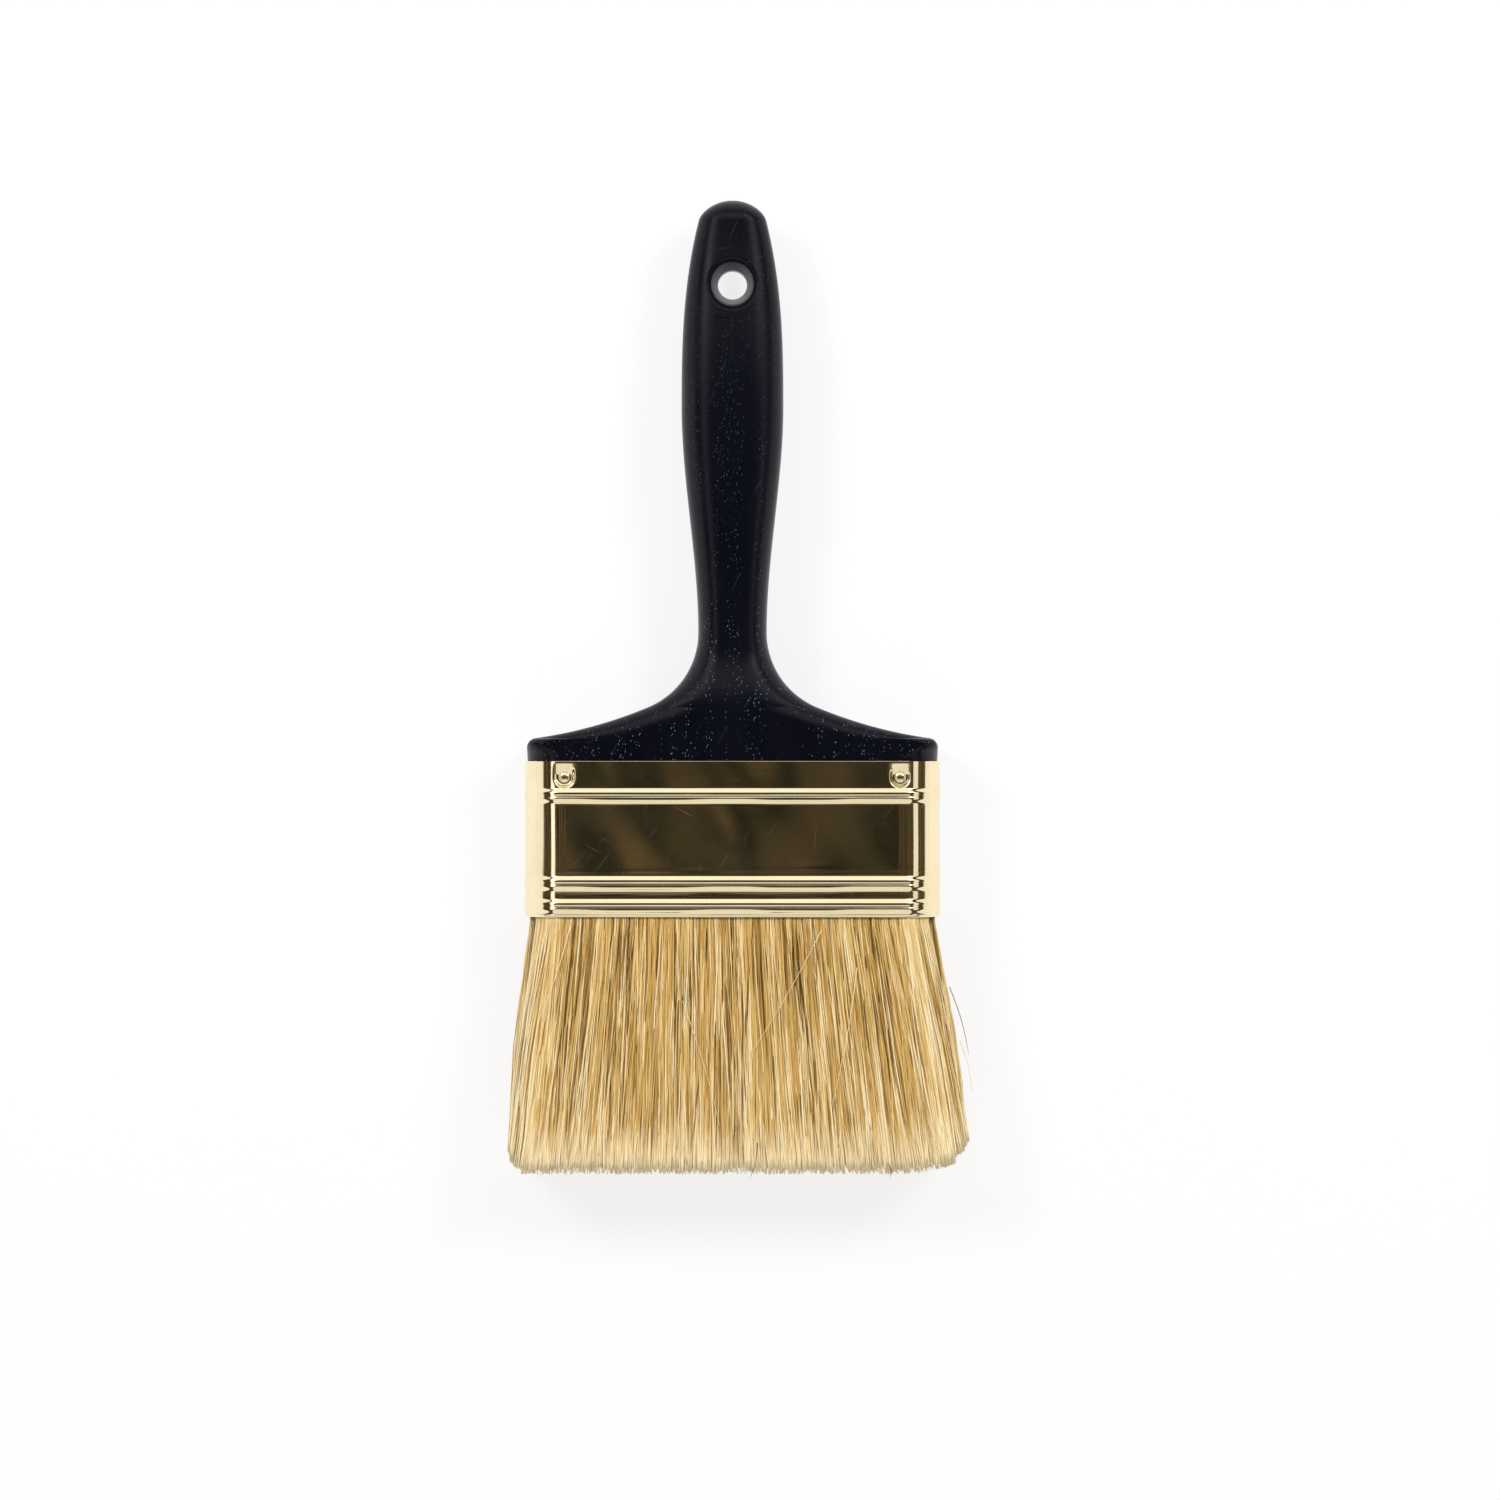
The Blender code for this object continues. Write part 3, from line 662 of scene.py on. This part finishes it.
def make_handle(material):
    """The whole handle in one skin. Its tenon is thinner where the ferrule's dents reach in."""
    thin = INNER_HALF_THICKNESS - DENT_DEPTH
    foot = SHOULDER_Y - TENON_LENGTH
    tenon_round = thin - TENON_CHAMFER
    foot_round = thin - 2 * TENON_CHAMFER
    rings = [
        (foot, INNER_HALF_WIDTH - TENON_CHAMFER, tenon_round, foot_round, foot_round),
        (foot + TENON_CHAMFER, INNER_HALF_WIDTH, thin, tenon_round, tenon_round),
        (SHOULDER_Y - TENON_STEP, INNER_HALF_WIDTH, thin, tenon_round, tenon_round),
        (SHOULDER_Y - TENON_STEP / 2, INNER_HALF_WIDTH, INNER_HALF_THICKNESS, INNER_CORNER, INNER_CORNER),
    ]
    stations, neck_height = handle_stations()
    for height, width, slope in stations:
        half = float(half_thickness(height, neck_height))
        rounds = corner_rounds(height, width, slope, half, neck_height)
        rings.append((SHOULDER_Y + height, width, half, *rounds))
    turns = even(0.0, math.pi / 2, HANDLE_CORNER_POINTS)
    shares = even(0.0, 1.0, HANDLE_FACE_POINTS)
    mesh = bmesh.new()
    loops = []
    for y, *shape in rings:
        x, z = section(*shape, turns, shares, HANDLE_SIDE_POINTS)
        loops.append(add_ring(mesh, x, y, z))
    for lower, upper in zip(loops, loops[1:]):
        bridge(mesh, lower, upper)
    mesh.faces.new(loops[0])
    mesh.faces.new(loops[-1])
    bmesh.ops.recalc_face_normals(mesh, faces=mesh.faces)
    cut_hole(mesh, neck_height)
    place_piece(
        "lacquered_handle",
        finish_mesh(mesh, "lacquered_handle"),
        material,
        "handle",
        crease=50.0,
    )


# Ferrule and nails
def bead(x, away):
    """Height of a bead, this far above its middle: two ridges with a shallow groove between them.

    The upper ridge has a narrow flat crest. The lower one's crest is wider, and swells along x.
    """
    wave = np.sin(CREST_WAVE * np.abs(x) + CREST_WAVE_SKEW * x + CREST_WAVE_PHASE)
    swell = ease(CREST_SWELL_LOW, CREST_SWELL_HIGH, wave)
    lower = LOWER_CREST * swell * ease(CREST_FADE_END, CREST_FADE_START, np.abs(x))
    crest = BEAD_GROOVE + np.where(away > 0, UPPER_CREST, lower)
    rise = 1 - ease(crest, BEAD_WIDTH / 2, abs(away))
    return BEAD_HEIGHT * rise - BEAD_GROOVE_DEPTH * (1 - ease(0.0, BEAD_GROOVE, abs(away)))


def ferrule_offset(x, y, flat):
    """How far the sheet stands out: the beads, a faint roll mark, and the mouth's edge turned in.

    flat is 1 on the faces and 0 on the narrow sides, which swell a little and have lower beads.
    """
    offset = SIDE_SWELL * (1 - flat) - MOUTH_CURL * (1 - ease(0.0, MOUTH_CURL_HEIGHT, y))
    for centre in BEAD_CENTRES:
        offset += mix(SIDE_BEAD_SHARE, 1.0, flat) * bead(x, y - centre)
    from_mark = y - MIDDLE_BEAD_RISE - ROLL_MARK_RISE - ROLL_MARK_WIDTH * np.sin(ROLL_MARK_WAVE * x)
    return offset + ROLL_MARK_HEIGHT * np.exp(-((from_mark / ROLL_MARK_WIDTH) ** 2))


def dent(x, y):
    """Depth of a nail's dent: a tongue that slopes in from the top edge and ends round the nail."""
    start = FERRULE_HEIGHT - FERRULE_WALL
    ramp = np.clip((start - y) / (start - NAIL_Y - DENT_RAMP_SHARE * DENT_SEAT), 0.0, 1.0)
    reach = np.hypot(np.abs(x) - NAIL_X, np.minimum(y - NAIL_Y, 0.0))
    return DENT_DEPTH * (1 - ease(DENT_SEAT, DENT_REACH, reach)) * ramp


def sheet_wave(x, y):
    """Slow dents and bulges of thin pressed sheet, which bend what it mirrors."""
    total = 0.0
    for share, along, up, phase in SHEET_WAVES:
        total = total + share * np.sin(along * x + up * y + phase)
    return SHEET_WAVE * total


def make_ferrule(material):
    """The sheet's skin goes up the outside, over the top edge and down the inside to the mouth."""
    top = FERRULE_HEIGHT
    rows = [SHEET_EDGE, MOUTH_CURL_HEIGHT, top - SHEET_EDGE]
    for centre in BEAD_CENTRES:
        rows += list(np.linspace(centre - BEAD_WIDTH / 2, centre + BEAD_WIDTH / 2, BEAD_ROWS))
    panel_low = MIDDLE_BEAD_RISE + BEAD_WIDTH / 2
    panel_high = BEAD_CENTRES[-1] - BEAD_WIDTH / 2
    rows += list(even(panel_low, panel_high, PANEL_ROWS)[1:])
    rows += list(even(BEAD_CENTRES[-1] + BEAD_WIDTH / 2, top - SHEET_EDGE, BAND_ROWS)[1:])
    skin = [(y, 0.0) for y in sorted(rows)]
    skin += [(top, SHEET_EDGE), (top, FERRULE_WALL - SHEET_EDGE)]
    skin += [(y, FERRULE_WALL) for y in np.linspace(top - SHEET_EDGE, SHEET_EDGE, INNER_ROWS)]
    skin += [(0.0, FERRULE_WALL - SHEET_EDGE), (0.0, SHEET_EDGE)]

    # Points crowd round the nails, which sit where the corners begin
    nail_turn = math.acos(3 * DENT_REACH / (2 * FERRULE_CORNER_RADIUS))
    turns = np.concatenate(
        (even(0.0, nail_turn, CORNER_POINTS), even(nail_turn, math.pi / 2, NAIL_CORNER_POINTS))
    )
    nail_share = 3 * DENT_REACH / (2 * (HALF_WIDTH - FERRULE_CORNER_RADIUS))
    shares = np.concatenate(
        (even(0.0, nail_share, NAIL_FACE_POINTS), even(nail_share, 1.0, FACE_POINTS))
    )
    points = (turns, shares, FERRULE_SIDE_POINTS)
    corner = FERRULE_CORNER_RADIUS
    side_x, side_z = section(HALF_WIDTH, HALF_THICKNESS, corner, corner, *points)

    # The same outline, grown by one metre, gives the direction in which each point moves out
    grown = corner + 1.0
    grown_x, grown_z = section(HALF_WIDTH + 1.0, HALF_THICKNESS + 1.0, grown, grown, *points)
    out_x, out_z = grown_x - side_x, grown_z - side_z
    face_x = side_x * np.sign(side_z)
    flat = ease(HALF_WIDTH, HALF_WIDTH - FERRULE_CORNER_RADIUS / 2, np.abs(side_x))
    mesh = bmesh.new()
    loops = []
    for y, inset in skin:
        out = ferrule_offset(face_x, y, flat) + flat * sheet_wave(face_x, y) - inset
        pressed = np.sign(side_z) * dent(side_x, y)
        loops.append(add_ring(mesh, side_x + out_x * out, y, side_z + out_z * out - pressed))
    for lower, upper in zip(loops, loops[1:] + loops[:1]):
        bridge(mesh, lower, upper)
    data = finish_mesh(mesh, "beaded_ferrule")
    place_piece("beaded_ferrule", data, material, "ferrule", crease=35.0)


def make_nails(material):
    """Nails with a domed head, each a turned profile seated in its dent."""
    profile = [
        (NAIL_POINT_RADIUS, -NAIL_LENGTH + FIT_GAP),
        (NAIL_SHANK_RADIUS, -NAIL_LENGTH + NAIL_POINT_LENGTH),
        (NAIL_SHANK_RADIUS, 0.0),
        (NAIL_HEAD_RADIUS - NAIL_HEAD_EDGE, 0.0),
        (NAIL_HEAD_RADIUS, NAIL_HEAD_EDGE),
    ]
    for angle in np.linspace(0.0, math.pi / 2, NAIL_DOME_RINGS)[1:-1]:
        rise = (NAIL_HEAD_HEIGHT - NAIL_HEAD_EDGE) * math.sin(angle)
        profile.append((NAIL_HEAD_RADIUS * math.cos(angle), NAIL_HEAD_EDGE + rise))
    turn = even(0.0, 2 * math.pi, NAIL_POINTS)
    seat = HALF_THICKNESS - DENT_DEPTH + NAIL_SEAT_GAP
    for face, side_z in (("front", 1.0), ("back", -1.0)):
        for side, side_x in (("left", -1.0), ("right", 1.0)):
            mesh = bmesh.new()
            loops = []
            for radius, z in profile:
                x, y = side_x * NAIL_X + radius * np.cos(turn), NAIL_Y + radius * np.sin(turn)
                loops.append(add_ring(mesh, x, y, side_z * (seat + z)))
            for lower, upper in zip(loops, loops[1:]):
                bridge(mesh, lower, upper)
            mesh.faces.new(loops[0])
            mesh.faces.new(loops[-1])
            name = f"{face}_{side}_nail"
            data = finish_mesh(mesh, name)
            place_piece(name, data, material, f"nail_{face}_{side}", crease=50.0)


# Bristles
def half_width_at(z, half_width, half, corner):
    """Half width of a rounded rectangle at height z."""
    into = np.clip(np.abs(z) - (half - corner), 0.0, corner)
    return half_width - corner + np.sqrt(corner * corner - into * into)


def tip_rounding(x):
    """How much shorter the bristle is at x, where the tip line turns up at both ends."""
    short = 0.0
    for side, corner, rise in (
        (-1.0, LEFT_TIP_CORNER, LEFT_TIP_RISE),
        (1.0, RIGHT_TIP_CORNER, RIGHT_TIP_RISE),
    ):
        past = np.clip(side * (x - TIP_LEAN) - (TIP_HALF_WIDTH - corner), 0.0, corner) / corner
        short = short + rise * (1 - np.sqrt(1 - past * past))
    return short


def strand_paths(number, chance):
    """Centre lines, radii and tones of one layer's strands. They fan out and weave in loose tufts."""
    count = STRANDS_PER_LAYER
    level = chance.random(count)
    side = chance.uniform(-1.0, 1.0, count)
    side = np.where(chance.random(count) < EDGE_SHARE, np.sign(side), side)

    # An outer layer has a skin of strands that lie side by side on its outer face
    skin = (chance.random(count) < SKIN_SHARE) & (number != 1)
    depth = SKIN_DEPTH * chance.random(count)
    level = np.where(skin, number / 2, level)
    root_z = (number - 1) * LAYER_STEP + (2 * level - 1) * (SLICE_HALF - STRAND_RADIUS)
    root_z -= skin * (number - 1) * depth
    mouth_z = np.clip(root_z, MOUTH_CURL - INNER_HALF_THICKNESS, INNER_HALF_THICKNESS - MOUTH_CURL)
    inner_half = half_width_at(mouth_z, INNER_HALF_WIDTH, INNER_HALF_THICKNESS, INNER_CORNER)
    root_x = side * (inner_half - MOUTH_CURL - STRAND_RADIUS)

    # Tufts draw their strands together and lean
    tuft_side = np.sort(chance.uniform(-1.0, 1.0, TUFTS))
    pick = side[:, None] + chance.normal(0.0, TUFT_REACH, (count, 1))
    nearest = np.abs(pick - tuft_side).argmin(1)
    tuft_lean = chance.normal(0.0, TUFT_LEAN, TUFTS)[nearest]
    tuft_tone = chance.normal(0.0, TUFT_TONE, TUFTS)[nearest]

    tip_z = ((number + level) / len(LAYERS) * 2 - 1) * TIP_HALF_THICKNESS
    tip_z += np.where(skin, (1 - number) * depth, chance.normal(0.0, TIP_SCATTER, count))
    tip_z = np.clip(tip_z, -TIP_HALF_THICKNESS, TIP_HALF_THICKNESS)
    tip_half = half_width_at(tip_z, TIP_HALF_WIDTH, TIP_HALF_THICKNESS, TIP_SIDE_CORNER)
    wander = chance.normal(0.0, TIP_WANDER, count) * chance.choice(WANDER_SHARES, count)
    tip_x = mix(side, tuft_side[nearest], TUFT_PULL) * tip_half + tuft_lean + wander
    tip_x = np.clip(tip_x, -tip_half - TIP_SLACK, tip_half + TIP_SLACK) + TIP_LEAN
    unevenness = np.where(skin, SKIN_UNEVENNESS, INNER_UNEVENNESS)
    short = tip_rounding(tip_x) + unevenness * chance.random(count)
    short += np.where(skin, SKIN_SHORT, INNER_SHORT)
    short += (chance.random(count) < WORN_SHARE) * WORN_LENGTH * chance.random(count) ** 2
    length = BRISTLE_LENGTH - short

    y = ROOT_DEPTH - STRAND_STATIONS * (ROOT_DEPTH + length[:, None])
    share = np.clip(-y / BRISTLE_LENGTH, 0.0, 1.0)
    fan = share - MOUTH_BEND * (1 - np.exp(-share / MOUTH_BEND))
    fan /= fan.max()
    phase = chance.uniform(0.0, 2 * math.pi, (2, count, 1))
    pitch = chance.uniform(*WEAVE_PITCH, (2, count, 1))
    free = ease(0.0, WEAVE_START, share)
    bend = chance.normal(0.0, STRAND_BOW, (count, 1)) * np.sin(np.pi * share)
    weave_x = WEAVE_ASIDE * np.sin(phase[0] + pitch[0] * share) * free
    lift = np.where(skin, SKIN_WEAVE, INNER_WEAVE)[:, None]
    weave_z = lift * np.sin(phase[1] + pitch[1] * share) * free
    x = root_x[:, None] + (tip_x - root_x)[:, None] * fan + bend + weave_x
    z = root_z[:, None] + (tip_z - root_z)[:, None] * fan + weave_z
    z = np.clip(z, -TIP_HALF_THICKNESS, TIP_HALF_THICKNESS)
    size = STRAND_RADIUS * chance.uniform(*STRAND_SIZES, (count, 1))
    radius = size * (1.0 - STRAND_TAPER * ease(TAPER_START, 1.0, STRAND_STATIONS))
    return np.stack((x, y, z), 2), radius, strand_tones(side, tuft_tone, chance)


def strand_tones(side, tuft_tone, chance):
    """Tones at each strand's stations. They drift along it, and are painted paler at both edges: painted
    light that lifts the shade on the side strands.
    """
    count = len(side)
    aside = np.abs(side)
    tone = MEAN_TONE + tuft_tone + chance.normal(0.0, TONE_SPREAD, count)
    # Painted light: paler strands near both edges lift the shade that falls on the sides
    tone += EDGE_PAINTED_LIGHT * ease(EDGE_PAINTED_LIGHT_FROM, 1.0, aside)
    rare = chance.random(count)
    dark = (rare < DARK_SHARE) & (aside < DARK_END)
    tone = np.where(dark, chance.uniform(*DARK_TONES, count), tone)
    tone = np.where(rare > 1 - PALE_SHARE, chance.uniform(*PALE_TONES, count), tone)
    drift = np.cumsum(chance.normal(0.0, TONE_DRIFT, (count, len(STRAND_STATIONS))), 1)
    return np.clip(tone[:, None] + drift, *TONE_LIMITS)


def stray_paths():
    """Loose hairs on the front: ends given as (x, y) at the mouth's side and at the tip, then a tone."""
    strays = (
        ((0.0215, -0.0029), (0.0046, -0.0325), 0.96),
        ((0.0060, -0.0540), (0.0040, -0.0631), 0.02),
        ((0.0373, -0.0590), (0.0378, -0.0626), 0.10),
        ((0.0525, -0.0170), (0.0572, -0.0335), 0.04),
        ((0.0550, -0.0300), (0.0579, -0.0420), 0.90),
        ((-0.0390, -0.0020), (-0.0470, -0.0260), 0.97),
        ((-0.0120, -0.0200), (-0.0030, -0.0500), 0.95),
        ((0.0300, -0.0120), (0.0240, -0.0450), 0.94),
    )
    ends = np.array([[start, end] for start, end, _ in strays])
    tone = np.array([tone for _, _, tone in strays])
    share = STRAND_STATIONS[:, None]
    flat = ends[:, :1] * (1 - share) + ends[:, 1:] * share
    flat[..., 0] += STRAY_BOW * np.sin(math.pi * STRAND_STATIONS)
    lift = INNER_HALF_THICKNESS + STRAY_LIFT + STRAY_SLOPE * -flat[..., 1]
    lift = np.minimum(lift, TIP_HALF_THICKNESS)
    lift = np.where(np.abs(flat[..., 0]) > STRAY_SIDE, STRAY_SIDE_HEIGHT, lift)
    paths = np.concatenate((flat, lift[..., None]), 2)
    radius = STRAY_RADIUS * (1.0 - STRAY_TAPER * STRAND_STATIONS) * np.ones((len(tone), 1))
    return paths, radius, np.repeat(tone[:, None], len(STRAND_STATIONS), 1)


def strand_mesh(name, paths, radius, tone, chance):
    """Three-sided strands, mapped by tone and by place along the strand."""
    count, stations, _ = paths.shape
    sides = STRAND_SIDES
    step = 2 * math.pi / sides
    spin = chance.uniform(0.0, 2 * math.pi, (count, 1, 1)) + step * np.arange(sides)
    points = np.repeat(paths[:, :, None, :], sides, 2)
    points[..., 0] += radius[:, :, None] * np.cos(spin)
    points[..., 2] += radius[:, :, None] * np.sin(spin)

    first = np.arange(count)[:, None] * stations * sides
    this = np.arange(sides)
    after = (this + 1) % sides
    quad = np.stack((this, after, after + sides, this + sides), 1)
    rows = np.arange(stations - 1)[:, None, None] * sides
    quads = (first[:, :, None, None] + rows + quad).reshape(-1, 4)
    caps = np.concatenate((first + (stations - 1) * sides + this, first + this[::-1]))
    data = bpy.data.meshes.new(name)
    data.from_pydata(points.reshape(-1, 3), [], quads.tolist() + caps.tolist())
    smooth = np.arange(len(quads) + len(caps)) < len(quads)
    data.polygons.foreach_set("use_smooth", smooth)

    width = TONE_WIDTH / sides
    ends = np.stack((tone[:, :-1], tone[:, :-1], tone[:, 1:], tone[:, 1:]), 2)
    u = ends[:, :, None, :] + width * (this[:, None] + np.array((0, 1, 1, 0)))
    low, high = STRAND_STATIONS[:-1], STRAND_STATIONS[1:]
    v = np.stack((low, low, high, high), 1)[None, :, None, :]
    u, v = np.broadcast_arrays(u, v)
    tip_u, root_u = (tone[:, [i]] + width * np.array((0.0, 1.0, 0.5)) for i in (-1, 0))
    cap_v = np.array(CAP_PLACES)
    tip_v = np.broadcast_to(1 - cap_v, tip_u.shape)
    root_v = np.broadcast_to(cap_v, root_u.shape)
    all_u = np.concatenate([part.ravel() for part in (u, tip_u, root_u)])
    all_v = np.concatenate([part.ravel() for part in (v, tip_v, root_v)])
    places = np.stack((all_u, all_v), 1).astype(np.float32)
    data.uv_layers.new(name="OFBake").uv.foreach_set("vector", places.ravel())
    return data


def make_bristles(material):
    for number, layer in enumerate(LAYERS):
        chance = np.random.default_rng(BRISTLE_SEED + number)
        parts = strand_paths(number, chance)
        if layer == "front":
            parts = [np.concatenate(pair) for pair in zip(parts, stray_paths())]
        name = f"{layer}_bristles"
        data = strand_mesh(name, *parts, chance)
        place_piece(name, data, material, f"bristles_{layer}")


def dress_inner_solids():
    """The pieces inside the ferrule keep their solids and get their own surfaces."""
    resin, plug = resin_material(), plug_material()
    dressed = {"setting_block": resin, "spacer_plug_front": plug, "spacer_plug_back": plug}
    for node, material in dressed.items():
        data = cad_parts[node].data
        data.materials.clear()
        data.materials.append(material)


# Floor, light and camera
def make_floor():
    """A plain pale floor. What sees it directly or in a mirror gets part of its white from a glow.

    The glow grows away from the brush, so that the floor meets the white room without an edge.
    """
    mesh = bmesh.new()
    bmesh.ops.create_grid(mesh, x_segments=1, y_segments=1, size=FLOOR_HALF)
    floor = bpy.data.objects.new("floor", finish_mesh(mesh, "floor"))
    bpy.context.scene.collection.objects.link(floor)
    floor.location.z = CAD_LOW.z - FLOOR_GAP
    material, tree, shader = new_material(
        "pale_floor", Roughness=0.9, Specular_IOR_Level=0.0, Base_Color=(0.92, 0.92, 0.92)
    )
    path = add_node(tree, "ShaderNodeLightPath").outputs
    seen = add_math(tree, "MAXIMUM", path["Is Camera Ray"], path["Is Glossy Ray"])
    seen = add_math(tree, "MAXIMUM", seen, path["Is Transmission Ray"])
    glow = add_node(tree, "ShaderNodeEmission", {"Color": (1.0, 1.0, 1.0), "Strength": 1.0})
    place = add_node(tree, "ShaderNodeTexCoord").outputs["Object"]
    away = add_node(tree, "ShaderNodeVectorMath", {0: place}, operation="LENGTH").outputs["Value"]
    away = add_math(tree, "MULTIPLY", away, 1 / FLOOR_HALF)
    grown = add_ramp(tree, away, (0.06, 0.8), (0.30, 1.0))
    share = add_math(tree, "MULTIPLY", seen, grown)
    blend = add_node(
        tree, "ShaderNodeMixShader", {0: share, 1: shader.outputs[0], 2: glow.outputs[0]}
    )
    tree.links.new(blend.outputs[0], tree.nodes["Material Output"].inputs["Surface"])
    floor.data.materials.append(material)


def make_world():
    """A studio with a dim patchy ceiling and white walls, which is white to the camera."""
    world = bpy.data.worlds.new("studio")
    world.use_nodes = True
    bpy.context.scene.world = world
    tree = world.node_tree
    tree.nodes.clear()
    direction = add_node(tree, "ShaderNodeTexCoord").outputs["Generated"]
    parts = add_node(tree, "ShaderNodeSeparateXYZ", {"Vector": direction}).outputs
    tilt = add_math(tree, "MULTIPLY", parts["X"], WALL_TILT)
    height = add_math(tree, "ADD", parts["Z"], tilt)
    patches = {"Vector": direction, "Scale": PATCH_SCALE, "Detail": 2.0}
    patches = add_node(tree, "ShaderNodeTexNoise", patches).outputs["Fac"]
    aside = add_node(tree, "ShaderNodeMath", {0: parts["X"]}, operation="ABSOLUTE").outputs[0]
    brown = add_math(tree, "MULTIPLY", aside, BROWN_SLOPE)
    brown = add_math(tree, "MINIMUM", brown, BROWN_LIMIT)
    patches = add_math(tree, "ADD", patches, brown)
    ceiling = add_ramp(
        tree,
        patches,
        (0.43, (0.010, 0.010, 0.007)),
        (0.50, (0.022, 0.024, 0.018)),
        (0.57, (0.034, 0.034, 0.025)),
        (0.64, (0.125, 0.083, 0.042)),
    )
    wall = add_ramp(tree, height, (0.305, 1.0), (0.345, 0.0))
    colour = add_mix(tree, wall, ceiling, (0.96, 0.96, 0.96))
    studio = add_node(tree, "ShaderNodeBackground", {"Color": colour, "Strength": 1.0})
    white = add_node(tree, "ShaderNodeBackground", {"Color": (1.0, 1.0, 1.0), "Strength": 1.0})
    camera = add_node(tree, "ShaderNodeLightPath").outputs["Is Camera Ray"]
    blend = add_node(
        tree, "ShaderNodeMixShader", {0: camera, 1: studio.outputs[0], 2: white.outputs[0]}
    )
    add_node(tree, "ShaderNodeOutputWorld", {"Surface": blend.outputs[0]})


def add_softbox(
    name, azimuth, lean, distance, width, length, radiance, tint=(1.0, 1.0, 1.0), mirrored=True
):
    """A soft lamp aimed at the brush. It leans this far off the vertical, towards the azimuth.

    A lamp that isn't mirrored only fills in light, and doesn't show in glossy surfaces.
    """
    lamp = bpy.data.lights.new(name, "AREA")
    lamp.shape = "RECTANGLE"
    lamp.size, lamp.size_y = width, length
    lamp.energy = radiance * math.pi * width * length
    lamp.color = tint
    obj = bpy.data.objects.new(name, lamp)
    bpy.context.scene.collection.objects.link(obj)
    turn, tip = math.radians(azimuth), math.radians(lean)
    out = distance * math.sin(tip)
    obj.location = (out * math.cos(turn), out * math.sin(turn), MIDDLE_Z + distance * math.cos(tip))
    obj.rotation_euler = (0.0, tip, turn)
    obj.visible_camera = False
    obj.visible_glossy = mirrored


def light_scene():
    """Each lamp has its azimuth and lean in degrees, its distance, width and length, then its radiance."""
    add_softbox("strip_left", 180.0, 41.0, 1.0, 0.18, 1.1, 1.15)
    add_softbox("strip_right", 0.0, 51.5, 1.0, 0.24, 1.1, 0.85, (0.94, 0.97, 1.0))
    add_softbox("panel_top", 90.0, 41.5, 1.1, 0.78, 1.6, 1.05)
    add_softbox("panel_top_near", 90.0, 14.3, 1.1, 0.30, 1.6, 0.12)
    add_softbox("panel_bottom_near", 270.0, 14.3, 1.1, 0.30, 1.6, 0.12)
    add_softbox("panel_bottom", 270.0, 41.5, 1.1, 0.78, 1.4, 0.80)
    for side, azimuth in (("left", 143.0), ("right", 37.0)):
        place = (azimuth, KEY_LEAN, KEY_DISTANCE, KEY_SIZE, KEY_SIZE)
        add_softbox(f"key_{side}", *place, KEY_RADIANCE)
        add_softbox(f"fill_{side}", *place, FILL_RADIANCE, mirrored=False)


def make_camera():
    """A camera straight above, framed as the photograph."""
    camera = bpy.data.objects.new("camera", bpy.data.cameras.new("camera"))
    bpy.context.scene.collection.objects.link(camera)
    camera.data.sensor_width = SENSOR_WIDTH
    camera.data.lens = SENSOR_WIDTH * (CAMERA_HEIGHT - MIDDLE_Z) * PIXELS_PER_METRE / PHOTO_SIZE
    middle = PHOTO_SIZE / 2
    x = (middle - PHOTO_MIDDLE_X) / PIXELS_PER_METRE
    y = MOUTH_Y + (PHOTO_MOUTH_Y - middle) / PIXELS_PER_METRE
    camera.location = (x, y, CAMERA_HEIGHT)
    bpy.context.scene.camera = camera


make_camera()
make_floor()
make_world()
light_scene()
make_handle(lacquer_material())
make_ferrule(brass_material("brass_plating", roughness=0.07))
make_nails(brass_material("brass_nail", roughness=0.10))
make_bristles(bristle_material())
dress_inner_solids()
bpy.context.scene.view_settings.view_transform = "Standard"
